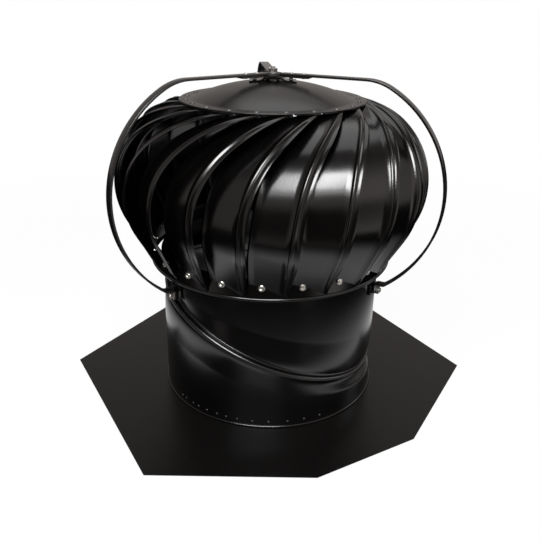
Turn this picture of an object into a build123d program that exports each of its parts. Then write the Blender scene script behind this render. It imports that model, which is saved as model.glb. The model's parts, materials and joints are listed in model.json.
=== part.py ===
from build123d import *
import math
import os

# Externally braced roof turbine ventilator for a 12 inch duct.
# Millimetres. Z is up, the origin is on the throat's axis at the underside of the
# flashing, and angles run anticlockwise from +X, seen from above.

os.makedirs("parts", exist_ok=True)

# ---------------------------------------------------------------- flashing
flashing_apothem = 262.0  # centre of the hexagon to a flat side
flashing_setback = 10.0  # how far the hexagon sits behind the throat's axis, along +Y
flashing_thickness = 1.2
clipped_corner_angle = -60.0
clipped_corner_distance = 258.0  # centre of the hexagon to the clipped edge
collar_height = 15.0  # the flashing's upturned collar, inside the lower throat
collar_gap = 0.15

# ---------------------------------------------------------------- throat and swivel
throat_step = 1.0  # the upper throat is this much smaller in radius than the lower one's foot
throat_wall = 1.2
base_radius = 156.0  # outside of the lower throat, where it stands on the flashing
base_curl_radius = 1.6
swivel_height = 108.0  # where the oblique joint crosses the throat's axis
swivel_tilt = 22.5
swivel_low_angle = -10.0  # the side on which the oblique joint is lowest
neck_radius = 160.2  # outside of both throats next to the oblique joint
neck_length = 6.0
swivel_bead_radius = 2.2
swivel_bead_proud = 1.0  # the bead's centre, outside the neck's outer face
swivel_gap = 0.3
swage_radius = 1.1
swage_rise = 6.5  # from the middle of the joint to the thin swage above it
forming_tilt = 15.0  # slope of the levels between which each throat is formed oblique
lower_forming_height = 66.0  # below this level the lower throat is a plain tube
upper_forming_height = 150.0  # above this level the upper throat is a plain tube
throat_top_height = 212.0
throat_wire_radius = 1.8

# ---------------------------------------------------------------- turbine head
vane_count = 21
vane_thickness = 0.9
vane_width = 50.7  # from the rib's outer foot to the inner edge, at both ends
vane_swell = 4.0  # how much further in the inner edge reaches over most of a vane
lip_width = 6.6  # outside the rib, over most of a vane
lip_height = 0.8
lip_foot_fade = 0.24  # share of a vane's length over which lip and swell run out
lip_top_fade = 0.22
rib_foot_fade = 0.06
rib_top_fade = 0.1
least_share = 0.04  # what is left of rib, lip and swell at a vane's very end
vane_foot_angle = -99.8  # where the first vane's rib leaves the ring
vane_sweep = 37.6  # how far a rib runs round the head from foot to top
vane_sweep_power = 4.27
belly_radius = 109.0  # the arc that the ribs follow, seen from the side
belly_centre_radius = 101.5
belly_rise = 107.5  # the arc's centre over the ring's foot
belly_top_angle = 80.0
belly_bottom_angle = -26.9
foot_straight_length = 61.8  # the straight run below the arc, down to the ring
foot_incidence = 19.0  # how far a vane leans in from the head's round outline
incidence_rise = 15.3
incidence_fall = 24.0
incidence_power = 8
rib_width = 6.8
rib_height = 2.3
hem_width = 3.0
hem_height = 0.8

ring_drop = 11.2  # from the throat's top down to the middle of the ring's rolled foot
ring_foot_radius = 169.3  # outside of the ring at the middle of its rolled foot
ring_height = 27.2  # from the middle of the ring's rolled foot to its top
ring_lean = 8.0
ring_thickness = 1.0
ring_bead_radius = 2.7
tab_gap = 0.15
ring_screw_rise = 15.8  # the screws over the ring's foot
ring_screw_lag = 10.7  # from a vane's foot back to the screw that holds it
ring_margin = 1.0  # how far over the ring a vane's inner edge starts
foot_tab_spacing = 0.6  # angle between neighbouring foot tabs
crease_tip_rise = 3.0
crease_root_drop = 0.5

rim_radius = 122.4
rim_inner_radius = 107.5
rim_rise = 108.7  # top face of the dome's flat rim over the belly's centre
dome_thickness = 1.0
crown_rise = 22.5  # top of the dome over its rim
dome_hole_radius = 9.0
rivet_circle_radius = 115.0
rivet_lag = 2.6  # from a vane's top end back to its rivet
top_tab_angle = 15.6
top_tab_inner_radius = 109.0
top_tab_outer_radius = 123.5

rivet_head_radius = 3.3
rivet_head_height = 1.5
rivet_shank_radius = 1.6
rivet_tail_radius = 2.6
rivet_tail_height = 1.0
fastener_gap = 0.1
screw_head_radius = 4.6
screw_head_height = 2.6
screw_shank_radius = 2.0
screw_reach = 5.0
screw_crown_radius = 2.85  # flat top of a screw's head

# ---------------------------------------------------------------- brace
brace_count = 3
brace_first_angle = -144.0
arm_width = 12.7
arm_thickness = 3.0
arm_inner_radius = 13.0
arm_shoulder_radius = 126.4
arm_bends = [(68.7, 28.7), (151.4, 84.5), (169.2, 29.0)]  # radius, turn
arm_kink_radius = 7.0
arm_foot_bend_radius = 4.0
arm_foot_length = 9.5
bracket_width_angle = 10.4
bracket_thickness = 2.5
bracket_drop = 27.5  # from the throat's top down to the brackets' top
bracket_length = 19.5
seat_gap = 0.15
brace_bolt_rise = 4.2  # the bolts over the brackets' lower edge
brace_bolt_radius = 3.0
brace_bolt_head_radius = 5.2
brace_bolt_head_height = 3.6
brace_nut_width = 10.0
brace_nut_height = 5.0
brace_bolt_end = 2.0  # thread that shows past the nut

# ---------------------------------------------------------------- shaft and bearings
shaft_radius = 5.0
shaft_stud_radius = 3.0
running_gap = 0.05
shaft_tail = 4.4  # shaft below the lower bearing
stud_end = 2.3  # stud that shows past the lock nut
lock_nut_width = 10.0
lock_nut_height = 5.0
hub_disc_radius = 20.0
hub_thickness = 2.0
hub_leg_width = 14.0
hub_leg_reach = 52.0
hub_screw_radii = (26.0, 43.0)
bearing_radius = 9.0
bearing_flange_radius = 12.0
bearing_flange_thickness = 2.4
thrust_washer_thickness = 1.0
end_float = 0.3
collar_radius = 8.0
collar_length = 7.0
hat_top_width = 24.0
hat_flange_start = 16.0  # from the axis to the foot of the hat's sloping legs
hat_half_span = 31.0
hat_depth = 26.0
hat_thickness = 1.5
hat_rise = 3.7  # top of the hat over the dome's crown
hat_rivet_radius = 24.0  # from the axis to the rivets in the hat's flanges
hat_rivet_spacing = 14.0
hat_rivet_lift = 0.02
hat_rivet_head_radius = 2.5
hat_rivet_head_height = 1.2
spider_leg_width = 16.0
spider_hub_radius = 18.0
spider_thickness = 3.0
spider_drop = 26.0  # from the throat's top down to the top face of the spider's legs
spider_tab_length = 22.0
spider_tab_gap = 3.8
lower_bearing_length = 12.0

# ---------------------------------------------------------------- worked out
pitch_angle = 360.0 / vane_count
brace_angles = [brace_first_angle + i * 360 / brace_count for i in range(brace_count)]
sheet_top = flashing_thickness
throat_radius = base_radius - throat_step
ring_foot_height = throat_top_height - ring_drop
ring_screw_height = ring_foot_height + ring_screw_rise
belly_centre_height = ring_foot_height + belly_rise
rim_height = belly_centre_height + rim_rise
bracket_top_height = throat_top_height - bracket_drop
bracket_bottom_height = bracket_top_height - bracket_length
brace_bolt_height = bracket_bottom_height + brace_bolt_rise
spider_height = throat_top_height - spider_drop
rim_underside = rim_height - dome_thickness
dome_crown_height = rim_height + crown_rise
hat_top_height = dome_crown_height + hat_rise
hub_underside = hat_top_height + thrust_washer_thickness + end_float
hub_top = hub_underside + hub_thickness
arm_level = hub_top + arm_thickness / 2  # middle of the arms over the dome
shaft_shoulder_height = hub_top + bearing_flange_thickness + end_float
shaft_top_height = shaft_shoulder_height + lock_nut_height + stud_end
lower_bearing_top = spider_height + bearing_flange_thickness
lower_bearing_bottom = lower_bearing_top - lower_bearing_length
shaft_bottom_height = lower_bearing_bottom - shaft_tail
ring_top_height = ring_foot_height + ring_height
ring_slope = math.tan(math.radians(ring_lean))


def radial_plane(angle, height=0.0, radius=0.0):
    """Upright plane through the axis: its x runs outwards, its y runs up."""
    outward = Vector(math.cos(math.radians(angle)), math.sin(math.radians(angle)), 0)
    origin = outward * radius + Vector(0, 0, height)
    return Plane(origin=origin, x_dir=outward, z_dir=outward.cross(Vector(0, 0, 1)))


def facing_plane(angle, radius, height, lean=0.0):
    """Plane that faces outwards at a place on the body, leaned back from upright."""
    turn = math.radians(angle)
    rise = math.radians(lean)
    outward = Vector(math.cos(turn), math.sin(turn), 0)
    normal = outward * math.cos(rise) + Vector(0, 0, math.sin(rise))
    side = Vector(-math.sin(turn), math.cos(turn), 0)
    return Plane(origin=outward * radius + Vector(0, 0, height), x_dir=side, z_dir=normal)


def finish(piece, name):
    """Label a finished piece and write it to its own file."""
    piece.part.label = name
    export_step(piece.part, f"parts/{name}.step")


low_side = Vector(
    math.cos(math.radians(swivel_low_angle)), math.sin(math.radians(swivel_low_angle)), 0
)
swivel_sine = math.sin(math.radians(swivel_tilt))
swivel_cosine = math.cos(math.radians(swivel_tilt))
swivel_axis_direction = low_side * swivel_sine + Vector(0, 0, swivel_cosine)
downhill = low_side * swivel_cosine - Vector(0, 0, swivel_sine)
swivel_plane = Plane(
    origin=(0, 0, swivel_height), x_dir=downhill, z_dir=swivel_axis_direction
)
swivel_axis = Axis((0, 0, swivel_height), tuple(swivel_axis_direction))
swivel_section = Plane(
    origin=swivel_plane.origin,
    x_dir=downhill,
    z_dir=downhill.cross(swivel_axis_direction),
)


def forming_plane(height):
    """Sloping plane through the throat's axis at a height, lowest on the swivel's low side."""
    slope = math.radians(forming_tilt)
    return Plane(
        origin=(0, 0, height),
        x_dir=low_side * math.cos(slope) - Vector(0, 0, math.sin(slope)),
        z_dir=low_side * math.sin(slope) + Vector(0, 0, math.cos(slope)),
    )


def formed_sheet(radius, level, neck_offset, inset=0.0):
    """Solid between an upright tube's sloping cut and the round neck at the swivel."""
    radius = radius - inset
    with BuildPart() as body:
        with BuildSketch(forming_plane(level)):
            Ellipse(radius / math.cos(math.radians(forming_tilt)), radius)
        with BuildSketch(swivel_plane.offset(neck_offset)):
            Circle(neck_radius - inset)
        loft(ruled=True)
    return body.part


# ================================================================ base
# The flashing is a flat hexagon with one corner clipped and a collar turned up
# round its opening.
collar_outer_radius = base_radius - throat_wall - collar_gap
collar_inner_radius = collar_outer_radius - flashing_thickness
clip_turn = math.radians(clipped_corner_angle)
clip_centre = (
    math.cos(clip_turn) * clipped_corner_distance,
    math.sin(clip_turn) * clipped_corner_distance + flashing_setback,
)

with BuildPart() as flashing_plate:
    with BuildSketch():
        with Locations((0, flashing_setback)):
            RegularPolygon(radius=flashing_apothem, side_count=6, major_radius=False)
        with Locations(Location(clip_centre, clipped_corner_angle)):
            Rectangle(
                flashing_apothem,
                2 * flashing_apothem,
                align=(Align.MIN, Align.CENTER),
                mode=Mode.SUBTRACT,
            )
    extrude(amount=flashing_thickness)
    with BuildSketch():
        Circle(collar_outer_radius)
    extrude(amount=collar_height)
    with BuildSketch():
        Circle(collar_inner_radius)
    extrude(amount=collar_height, mode=Mode.SUBTRACT)
finish(flashing_plate, "flashing_plate")

# The lower throat stands on the flashing on a curled foot, and its top is cut
# obliquely and rolled into a bead that is round about the swivel's axis.
bead_centre_radius = neck_radius + swivel_bead_proud

with BuildPart() as lower_throat:
    with BuildSketch(Plane.XY.offset(sheet_top)):
        Circle(base_radius)
        Circle(base_radius - throat_wall, mode=Mode.SUBTRACT)
    extrude(amount=swivel_height)
    split(bisect_by=forming_plane(lower_forming_height), keep=Keep.BOTTOM)
    add(formed_sheet(base_radius, lower_forming_height, -neck_length))
    add(
        formed_sheet(base_radius, lower_forming_height, -neck_length, throat_wall),
        mode=Mode.SUBTRACT,
    )
    with BuildSketch(Plane.XZ):
        with Locations((base_radius + base_curl_radius / 2, sheet_top + base_curl_radius)):
            Circle(base_curl_radius)
    revolve(axis=Axis.Z)
    with BuildSketch(swivel_section):
        with Locations((neck_radius, -neck_length)):
            Rectangle(throat_wall, neck_length, align=(Align.MAX, Align.MIN))
        with Locations((bead_centre_radius, 0)):
            Circle(swivel_bead_radius)
    revolve(axis=swivel_axis)
finish(lower_throat, "lower_throat")

# ================================================================ upper throat
# Its lower end is rolled round the bead of the lower throat, which it grips loosely
# enough to turn. Above that the sheet is formed back to a plain upright tube.
grip_inner_radius = swivel_bead_radius + swivel_gap
grip_outer_radius = grip_inner_radius + throat_wall
wall_start = grip_inner_radius
forming_start = swage_rise + swage_radius + 0.4

with BuildPart() as upper_throat:
    with BuildSketch(Plane.XY.offset(swivel_height)):
        Circle(throat_radius)
        Circle(throat_radius - throat_wall, mode=Mode.SUBTRACT)
    extrude(amount=throat_top_height - swivel_height)
    split(bisect_by=forming_plane(upper_forming_height), keep=Keep.TOP)
    add(formed_sheet(throat_radius, upper_forming_height, forming_start))
    add(
        formed_sheet(throat_radius, upper_forming_height, forming_start, throat_wall),
        mode=Mode.SUBTRACT,
    )
    with BuildSketch(Plane.XZ):
        with Locations((throat_radius, throat_top_height - throat_wire_radius)):
            Circle(throat_wire_radius)
    revolve(axis=Axis.Z)
    with BuildSketch(swivel_section):
        with Locations((bead_centre_radius, 0)):
            Circle(grip_outer_radius)
            Circle(grip_inner_radius, mode=Mode.SUBTRACT)
        with Locations((neck_radius + swivel_gap, wall_start - swivel_gap)):
            Rectangle(
                2 * grip_outer_radius,
                2 * grip_outer_radius,
                align=(Align.MAX, Align.MAX),
                mode=Mode.SUBTRACT,
            )
        with Locations((neck_radius - throat_wall, 0)):
            Rectangle(
                2 * grip_outer_radius,
                4 * grip_outer_radius,
                align=(Align.MAX, Align.CENTER),
                mode=Mode.SUBTRACT,
            )
        with Locations((neck_radius, wall_start)):
            Rectangle(throat_wall, forming_start - wall_start, align=(Align.MAX, Align.MIN))
        with Locations((neck_radius, swage_rise)):
            Circle(swage_radius)
    revolve(axis=swivel_axis)
    with Locations(
        *[
            facing_plane(angle, throat_radius, brace_bolt_height)
            for angle in brace_angles
        ]
    ):
        Cylinder(brace_bolt_radius + fastener_gap, 8 * throat_wall, mode=Mode.SUBTRACT)
finish(upper_throat, "upper_throat")

# ================================================================ turbine ring
# The ring is a shallow cone with a rolled foot. The vanes are screwed to its outside.


def ring_radius(height):
    """Outside radius of the ring at a height."""
    return ring_foot_radius - (height - ring_foot_height) * ring_slope


def vane_angle(index):
    """Where a vane's rib leaves the ring."""
    return vane_foot_angle + index * pitch_angle


ring_screw_radius = ring_radius(ring_screw_height)

with BuildPart() as bottom_ring:
    with BuildSketch(Plane.XZ):
        with BuildLine():
            Polyline(
                (ring_radius(ring_foot_height), ring_foot_height),
                (ring_radius(ring_top_height), ring_top_height),
                (ring_radius(ring_top_height) - ring_thickness, ring_top_height),
                (ring_radius(ring_foot_height) - ring_thickness, ring_foot_height),
                close=True,
            )
        make_face()
        with Locations((ring_foot_radius - ring_thickness, ring_foot_height)):
            Circle(ring_bead_radius)
    revolve(axis=Axis.Z)
    with Locations(
        *[
            facing_plane(
                vane_angle(i) - ring_screw_lag, ring_screw_radius, ring_screw_height, ring_lean
            )
            for i in range(vane_count)
        ]
    ):
        Cylinder(screw_shank_radius + fastener_gap, 2 * screw_reach, mode=Mode.SUBTRACT)
finish(bottom_ring, "bottom_ring")

# ================================================================ vanes
# Seen from the side, a vane's rib follows a straight run and then an arc. The vane is a
# sheet strip that leans in from there, towards the vane behind it.
arc_length = belly_radius * math.radians(belly_top_angle - belly_bottom_angle)
edge_length = foot_straight_length + arc_length


def outline(fraction):
    """Radius, height and facing angle of the head's outline, 0 at the foot, 1 at the top."""
    run = fraction * edge_length
    foot = math.radians(belly_bottom_angle)
    facing = foot + max(run - foot_straight_length, 0) / belly_radius
    below = max(foot_straight_length - run, 0)
    radius = belly_centre_radius + belly_radius * math.cos(facing) + below * math.sin(foot)
    height = belly_centre_height + belly_radius * math.sin(facing) - below * math.cos(foot)
    return radius, height, facing


def vane_station(fraction):
    """Section plane of the first vane: x runs across the strip from the rib's outer
    foot to the inner edge, y points out of the head."""
    radius, height, facing = outline(fraction)
    swept = vane_sweep * fraction**vane_sweep_power
    turn = math.radians(vane_foot_angle + swept)
    turning = (
        math.radians(vane_sweep)
        * vane_sweep_power
        * fraction ** (vane_sweep_power - 1)
        / edge_length
    )
    outward = Vector(math.cos(turn), math.sin(turn), 0)
    around = Vector(-math.sin(turn), math.cos(turn), 0)
    up = Vector(0, 0, 1)
    along = (
        outward * -math.sin(facing) + up * math.cos(facing) + around * (radius * turning)
    ).normalized()
    normal = outward * math.cos(facing) + up * math.sin(facing)
    across = normal.cross(along)
    lean = math.radians(
        foot_incidence
        + incidence_rise * fraction
        - incidence_fall * fraction**incidence_power
    )
    strip = across * math.cos(lean) - normal * math.sin(lean)
    return Plane(origin=outward * radius + up * height, x_dir=strip, z_dir=along)


station_count = 9
stations = [i / station_count for i in range(station_count + 1)]


def fading(fraction, foot_fade, top_fade):
    """1 over most of a vane, and less towards both of its ends."""
    return max(min(1.0, fraction / foot_fade, (1.0 - fraction) / top_fade), least_share)


with BuildPart() as vane_blank:
    for fraction in stations:
        swell = fading(fraction, lip_foot_fade, lip_top_fade)
        stand = fading(fraction, rib_foot_fade, rib_top_fade)
        outer_edge = -lip_width * swell
        inner_edge = vane_width + vane_swell * swell
        with BuildSketch(vane_station(fraction)):
            with BuildLine():
                lip = ThreePointArc((outer_edge, 0), (outer_edge / 2, lip_height * swell), (0, 0))
                rib = ThreePointArc(
                    lip @ 1, (rib_width / 2, rib_height * stand), (rib_width, 0)
                )
                face = Line(rib @ 1, (inner_edge - hem_width, 0))
                hem = ThreePointArc(
                    face @ 1,
                    (inner_edge - hem_width / 2, hem_height * stand),
                    (inner_edge, 0),
                )
                Polyline(
                    hem @ 1,
                    (inner_edge, -vane_thickness),
                    (outer_edge, -vane_thickness),
                    lip @ 0,
                )
            make_face()
    loft()


# At its foot a vane is trimmed where it meets the ring, and a three-cornered tab folded
# down from it lies on the ring. At its top it is trimmed under the dome's rim, where a
# flat tab takes the rivet.
vane_top_angle = vane_foot_angle + vane_sweep
ring_keepout_top = ring_top_height + ring_margin
foot_tab_angle = pitch_angle - foot_tab_spacing
foot_tab_bottom = ring_foot_height + ring_bead_radius + tab_gap
foot_tab_top = ring_top_height
crease_tip_height = foot_tab_bottom + crease_tip_rise
crease_root_height = foot_tab_top - crease_root_drop
head_ceiling = belly_centre_height + belly_radius + vane_width  # over every vane


def on_cone(height, clearance):
    """Point outside the ring's cone, as radius and height."""
    return (ring_radius(height) + clearance / math.cos(math.radians(ring_lean)), height)


with BuildPart() as ring_keepout:
    with BuildSketch(Plane.XZ):
        with BuildLine():
            Polyline(
                (0, ring_foot_height),
                on_cone(ring_foot_height, tab_gap),
                on_cone(ring_keepout_top, tab_gap),
                (0, ring_keepout_top),
                close=True,
            )
        make_face()
        with Locations((ring_foot_radius - ring_thickness, ring_foot_height)):
            Circle(ring_bead_radius + tab_gap)
    revolve(axis=Axis.Z)

with BuildPart() as foot_tab:
    with BuildSketch(radial_plane(vane_foot_angle - foot_tab_angle)):
        with BuildLine():
            Polyline(
                on_cone(foot_tab_bottom, tab_gap),
                on_cone(foot_tab_top, tab_gap),
                on_cone(foot_tab_top, tab_gap + vane_thickness),
                on_cone(foot_tab_bottom, tab_gap + vane_thickness),
                close=True,
            )
        make_face()
    revolve(axis=Axis.Z, revolution_arc=foot_tab_angle)
    crease_tip = radial_plane(vane_foot_angle).from_local_coords(
        Vector(ring_foot_radius, crease_tip_height, 0)
    )
    crease_root = radial_plane(vane_foot_angle - foot_tab_angle).from_local_coords(
        Vector(ring_foot_radius, crease_root_height, 0)
    )
    crease = crease_root - crease_tip
    crease_outward = Vector(crease_tip.X + crease_root.X, crease_tip.Y + crease_root.Y, 0)
    crease_normal = crease.cross(crease_outward).normalized()
    if crease_normal.Z < 0:
        crease_normal = crease_normal * -1
    split(bisect_by=Plane(origin=crease_tip, z_dir=crease_normal), keep=Keep.BOTTOM)

with BuildPart() as first_vane:
    add(vane_blank.part)
    add(ring_keepout.part, mode=Mode.SUBTRACT)
    with BuildSketch(Plane.XY.offset(foot_tab_top)):
        Circle(top_tab_inner_radius)
    extrude(amount=head_ceiling - foot_tab_top, mode=Mode.SUBTRACT)
    with BuildSketch(Plane.XY.offset(rim_underside)):
        Circle(rim_radius + tab_gap)
    extrude(amount=head_ceiling - rim_underside, mode=Mode.SUBTRACT)
    add(foot_tab.part)
    with BuildSketch(radial_plane(vane_top_angle - top_tab_angle)):
        with Locations((top_tab_inner_radius, rim_underside)):
            Rectangle(
                top_tab_outer_radius - top_tab_inner_radius,
                vane_thickness,
                align=(Align.MIN, Align.MAX),
            )
    revolve(axis=Axis.Z, revolution_arc=top_tab_angle)
    screw_seat = facing_plane(
        vane_foot_angle - ring_screw_lag, ring_screw_radius, ring_screw_height, ring_lean
    ).offset(tab_gap + vane_thickness)
    with Locations(screw_seat):
        Cylinder(screw_shank_radius + fastener_gap, 2 * screw_reach, mode=Mode.SUBTRACT)
        Cylinder(
            screw_head_radius + fastener_gap,
            screw_head_height + fastener_gap,
            align=(Align.CENTER, Align.CENTER, Align.MIN),
            mode=Mode.SUBTRACT,
        )
    with Locations(
        radial_plane(vane_top_angle - rivet_lag).from_local_coords(
            Vector(rivet_circle_radius, rim_underside, 0)
        )
    ):
        Cylinder(rivet_shank_radius + fastener_gap, 4 * vane_thickness, mode=Mode.SUBTRACT)
    with Locations(
        radial_plane(vane_top_angle - rivet_lag).from_local_coords(
            Vector(rivet_circle_radius, rim_underside - vane_thickness, 0)
        )
    ):
        Cylinder(
            rivet_tail_radius + fastener_gap,
            rivet_tail_height + fastener_gap,
            align=(Align.CENTER, Align.CENTER, Align.MAX),
            mode=Mode.SUBTRACT,
        )

for index in range(vane_count):
    with BuildPart() as vane:
        add(first_vane.part.rotate(Axis.Z, index * pitch_angle))
    finish(vane, f"vane_{index + 1:02d}")

# ================================================================ dome
# A shallow round crown inside a flat rim.
crown_radius = (rim_inner_radius**2 + crown_rise**2) / (2 * crown_rise)
crown_centre_height = dome_crown_height - crown_radius


def crown_point(radius, depth=0.0):
    """Point of the dome's section, a depth under its outer face."""
    height = crown_centre_height + math.sqrt((crown_radius - depth) ** 2 - radius**2)
    return (radius, height)


crown_inner_edge = math.sqrt(
    (crown_radius - dome_thickness) ** 2 - (rim_underside - crown_centre_height) ** 2
)

with BuildPart() as dome_cap:
    with BuildSketch(Plane.XZ):
        with BuildLine():
            outer = ThreePointArc(
                crown_point(dome_hole_radius),
                crown_point(rim_inner_radius / 2),
                (rim_inner_radius, rim_height),
            )
            Polyline(
                outer @ 1,
                (rim_radius, rim_height),
                (rim_radius, rim_underside),
                (crown_inner_edge, rim_underside),
            )
            inner = ThreePointArc(
                (crown_inner_edge, rim_underside),
                crown_point(rim_inner_radius / 2, dome_thickness),
                crown_point(dome_hole_radius, dome_thickness),
            )
            Line(inner @ 1, outer @ 0)
        make_face()
    revolve(axis=Axis.Z)
    with BuildSketch(Plane.XY.offset(rim_height)):
        with PolarLocations(
            rivet_circle_radius, vane_count, start_angle=vane_top_angle - rivet_lag
        ):
            Circle(rivet_shank_radius + fastener_gap)
    extrude(amount=-2 * dome_thickness, mode=Mode.SUBTRACT)
finish(dome_cap, "dome_cap")


def rivet_blank(grip):
    """Rivet with a domed head on the level z = 0 and its tail under the sheets."""
    with BuildPart() as rivet:
        with BuildSketch(Plane.XZ):
            with BuildLine():
                crown = RadiusArc(
                    (rivet_head_radius, 0),
                    (0, rivet_head_height),
                    -(rivet_head_radius**2 + rivet_head_height**2) / (2 * rivet_head_height),
                )
                Polyline(
                    crown @ 1,
                    (0, -grip - rivet_tail_height),
                    (rivet_tail_radius, -grip - rivet_tail_height),
                    (rivet_tail_radius, -grip),
                    (rivet_shank_radius, -grip),
                    (rivet_shank_radius, 0),
                    crown @ 0,
                )
            make_face()
        revolve(axis=Axis.Z)
    return rivet.part


with BuildPart() as dome_rivets:
    with Locations((0, 0, rim_height)):
        with PolarLocations(
            rivet_circle_radius, vane_count, start_angle=vane_top_angle - rivet_lag
        ):
            add(rivet_blank(dome_thickness + vane_thickness))
finish(dome_rivets, "dome_rivets")

with BuildPart() as ring_screws:
    with Locations(
        *[
            facing_plane(
                vane_angle(i) - ring_screw_lag, ring_screw_radius, ring_screw_height, ring_lean
            ).offset(tab_gap + vane_thickness)
            for i in range(vane_count)
        ]
    ):
        Cylinder(
            screw_shank_radius, screw_reach, align=(Align.CENTER, Align.CENTER, Align.MAX)
        )
        Cone(
            screw_head_radius,
            screw_crown_radius,
            screw_head_height,
            align=(Align.CENTER, Align.CENTER, Align.MIN),
        )
finish(ring_screws, "ring_screws")

# ================================================================ hat and shaft
# The hat is a bent strap across the top of the dome. The shaft is fixed in it.
hat_slope = hat_rivet_radius / crown_radius
hat_seat_height = crown_point(hat_rivet_radius)[1] + seat_gap


def hat_foot(distance):
    """Underside of the hat's sloping flange at a distance from the axis."""
    return hat_seat_height - (distance - hat_rivet_radius) * hat_slope


hat_corner = hat_thickness * 0.7  # how far the strap's outer face leads at a bend
hat_outer_start = hat_flange_start + hat_corner

with BuildPart() as hat_bracket:
    with BuildSketch(Plane.XZ):
        with BuildLine():
            Polyline(
                (0, hat_top_height),
                (hat_top_width / 2, hat_top_height),
                (hat_outer_start, hat_foot(hat_outer_start) + hat_thickness),
                (hat_half_span, hat_foot(hat_half_span) + hat_thickness),
                (hat_half_span, hat_foot(hat_half_span)),
                (hat_flange_start, hat_foot(hat_flange_start)),
                (hat_top_width / 2 - hat_corner, hat_top_height - hat_thickness),
                (0, hat_top_height - hat_thickness),
                close=True,
            )
        make_face()
        mirror(about=Plane.YZ)
    extrude(amount=hat_depth / 2, both=True)
    with Locations((0, 0, hat_top_height)):
        Cylinder(shaft_radius + running_gap, 4 * hat_thickness, mode=Mode.SUBTRACT)
finish(hat_bracket, "hat_bracket")

with BuildPart() as hat_rivets:
    hat_rivet_turn = math.degrees(hat_slope)
    for side in (-1, 1):
        for across in (-1, 1):
            place = Location(
                (
                    side * hat_rivet_radius,
                    across * hat_rivet_spacing / 2,
                    hat_foot(hat_rivet_radius) + hat_thickness + hat_rivet_lift,
                ),
                (0, side * hat_rivet_turn, 0),
            )
            with Locations(place):
                Cylinder(
                    hat_rivet_head_radius,
                    hat_rivet_head_height,
                    align=(Align.CENTER, Align.CENTER, Align.MIN),
                )
finish(hat_rivets, "hat_rivets")

with BuildPart() as rotor_shaft:
    with Locations((0, 0, shaft_bottom_height)):
        Cylinder(
            shaft_radius,
            shaft_shoulder_height - shaft_bottom_height,
            align=(Align.CENTER, Align.CENTER, Align.MIN),
        )
        Cylinder(
            shaft_stud_radius,
            shaft_top_height - shaft_bottom_height,
            align=(Align.CENTER, Align.CENTER, Align.MIN),
        )
finish(rotor_shaft, "rotor_shaft")


def ring_piece(inner, outer, bottom, top):
    """Plain round collar or washer about the axis."""
    with BuildPart() as piece:
        with BuildSketch(Plane.XY.offset(bottom)):
            Circle(outer)
            Circle(inner, mode=Mode.SUBTRACT)
        extrude(amount=top - bottom)
    return piece


head_collar = ring_piece(
    shaft_radius + running_gap,
    collar_radius,
    hat_top_height - hat_thickness - collar_length,
    hat_top_height - hat_thickness,
)
finish(head_collar, "head_collar")
thrust_washer = ring_piece(
    shaft_radius + running_gap,
    bearing_radius,
    hat_top_height,
    hat_top_height + thrust_washer_thickness,
)
finish(thrust_washer, "thrust_washer")
thrust_collar = ring_piece(
    shaft_radius + running_gap,
    collar_radius,
    lower_bearing_top + end_float,
    lower_bearing_top + end_float + collar_length,
)
finish(thrust_collar, "thrust_collar")


def hex_nut(width, height, bore):
    """Hexagon nut that stands on the level z = 0."""
    with BuildPart() as nut:
        with BuildSketch():
            RegularPolygon(radius=width / 2, side_count=6, major_radius=False)
            Circle(bore, mode=Mode.SUBTRACT)
        extrude(amount=height)
    return nut.part


with BuildPart() as shaft_nut:
    with Locations((0, 0, shaft_shoulder_height)):
        add(hex_nut(lock_nut_width, lock_nut_height, shaft_stud_radius + running_gap))
finish(shaft_nut, "shaft_nut")

# ================================================================ brace
# Three flat bars run out from the hub, bow down round the head and end on brackets on
# the upper throat.
bracket_inner_radius = throat_radius + seat_gap
bracket_outer_radius = bracket_inner_radius + bracket_thickness
foot_radius = bracket_outer_radius + seat_gap + arm_thickness / 2

for index, angle in enumerate(brace_angles):
    with BuildPart() as brace_arm:
        with BuildLine(radial_plane(angle)) as route:
            run = Line((arm_inner_radius, arm_level), (arm_shoulder_radius, arm_level))
            heading = 0.0
            piece = run
            for bend_radius, turn in arm_bends:
                piece = JernArc(piece @ 1, piece % 1, bend_radius, -turn)
                heading += turn
            kink = JernArc(piece @ 1, piece % 1, arm_kink_radius, heading - 180)
            kink_end = radial_plane(angle).to_local_coords(kink @ 1)
            reach = Line(
                (kink_end.X, kink_end.Y), (foot_radius + arm_foot_bend_radius, kink_end.Y)
            )
            bend = JernArc(reach @ 1, reach % 1, arm_foot_bend_radius, 90)
            foot_top = radial_plane(angle).to_local_coords(bend @ 1)
            Line((foot_top.X, foot_top.Y), (foot_top.X, foot_top.Y - arm_foot_length))
        with BuildSketch(
            Plane(
                origin=route.line @ 0,
                x_dir=(0, 0, 1),
                z_dir=route.line % 0,
            )
        ):
            Rectangle(arm_thickness, arm_width)
        sweep(path=route.line)
        with Locations(facing_plane(angle, foot_radius, brace_bolt_height)):
            Cylinder(brace_bolt_radius + fastener_gap, 2 * arm_thickness, mode=Mode.SUBTRACT)
        with Locations(
            *[
                radial_plane(angle).from_local_coords(Vector(r, arm_level, 0))
                for r in hub_screw_radii
            ]
        ):
            Cylinder(rivet_shank_radius + fastener_gap, 2 * arm_thickness, mode=Mode.SUBTRACT)
    finish(brace_arm, f"brace_arm_{index + 1}")
    with BuildPart() as brace_bracket:
        with BuildSketch(radial_plane(angle - bracket_width_angle / 2)):
            with Locations((bracket_inner_radius, bracket_bottom_height)):
                Rectangle(
                    bracket_thickness,
                    bracket_length,
                    align=(Align.MIN, Align.MIN),
                )
        revolve(axis=Axis.Z, revolution_arc=bracket_width_angle)
        with Locations(facing_plane(angle, bracket_inner_radius, brace_bolt_height)):
            Cylinder(
                brace_bolt_radius + fastener_gap, 4 * bracket_thickness, mode=Mode.SUBTRACT
            )
    finish(brace_bracket, f"brace_bracket_{index + 1}")

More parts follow.
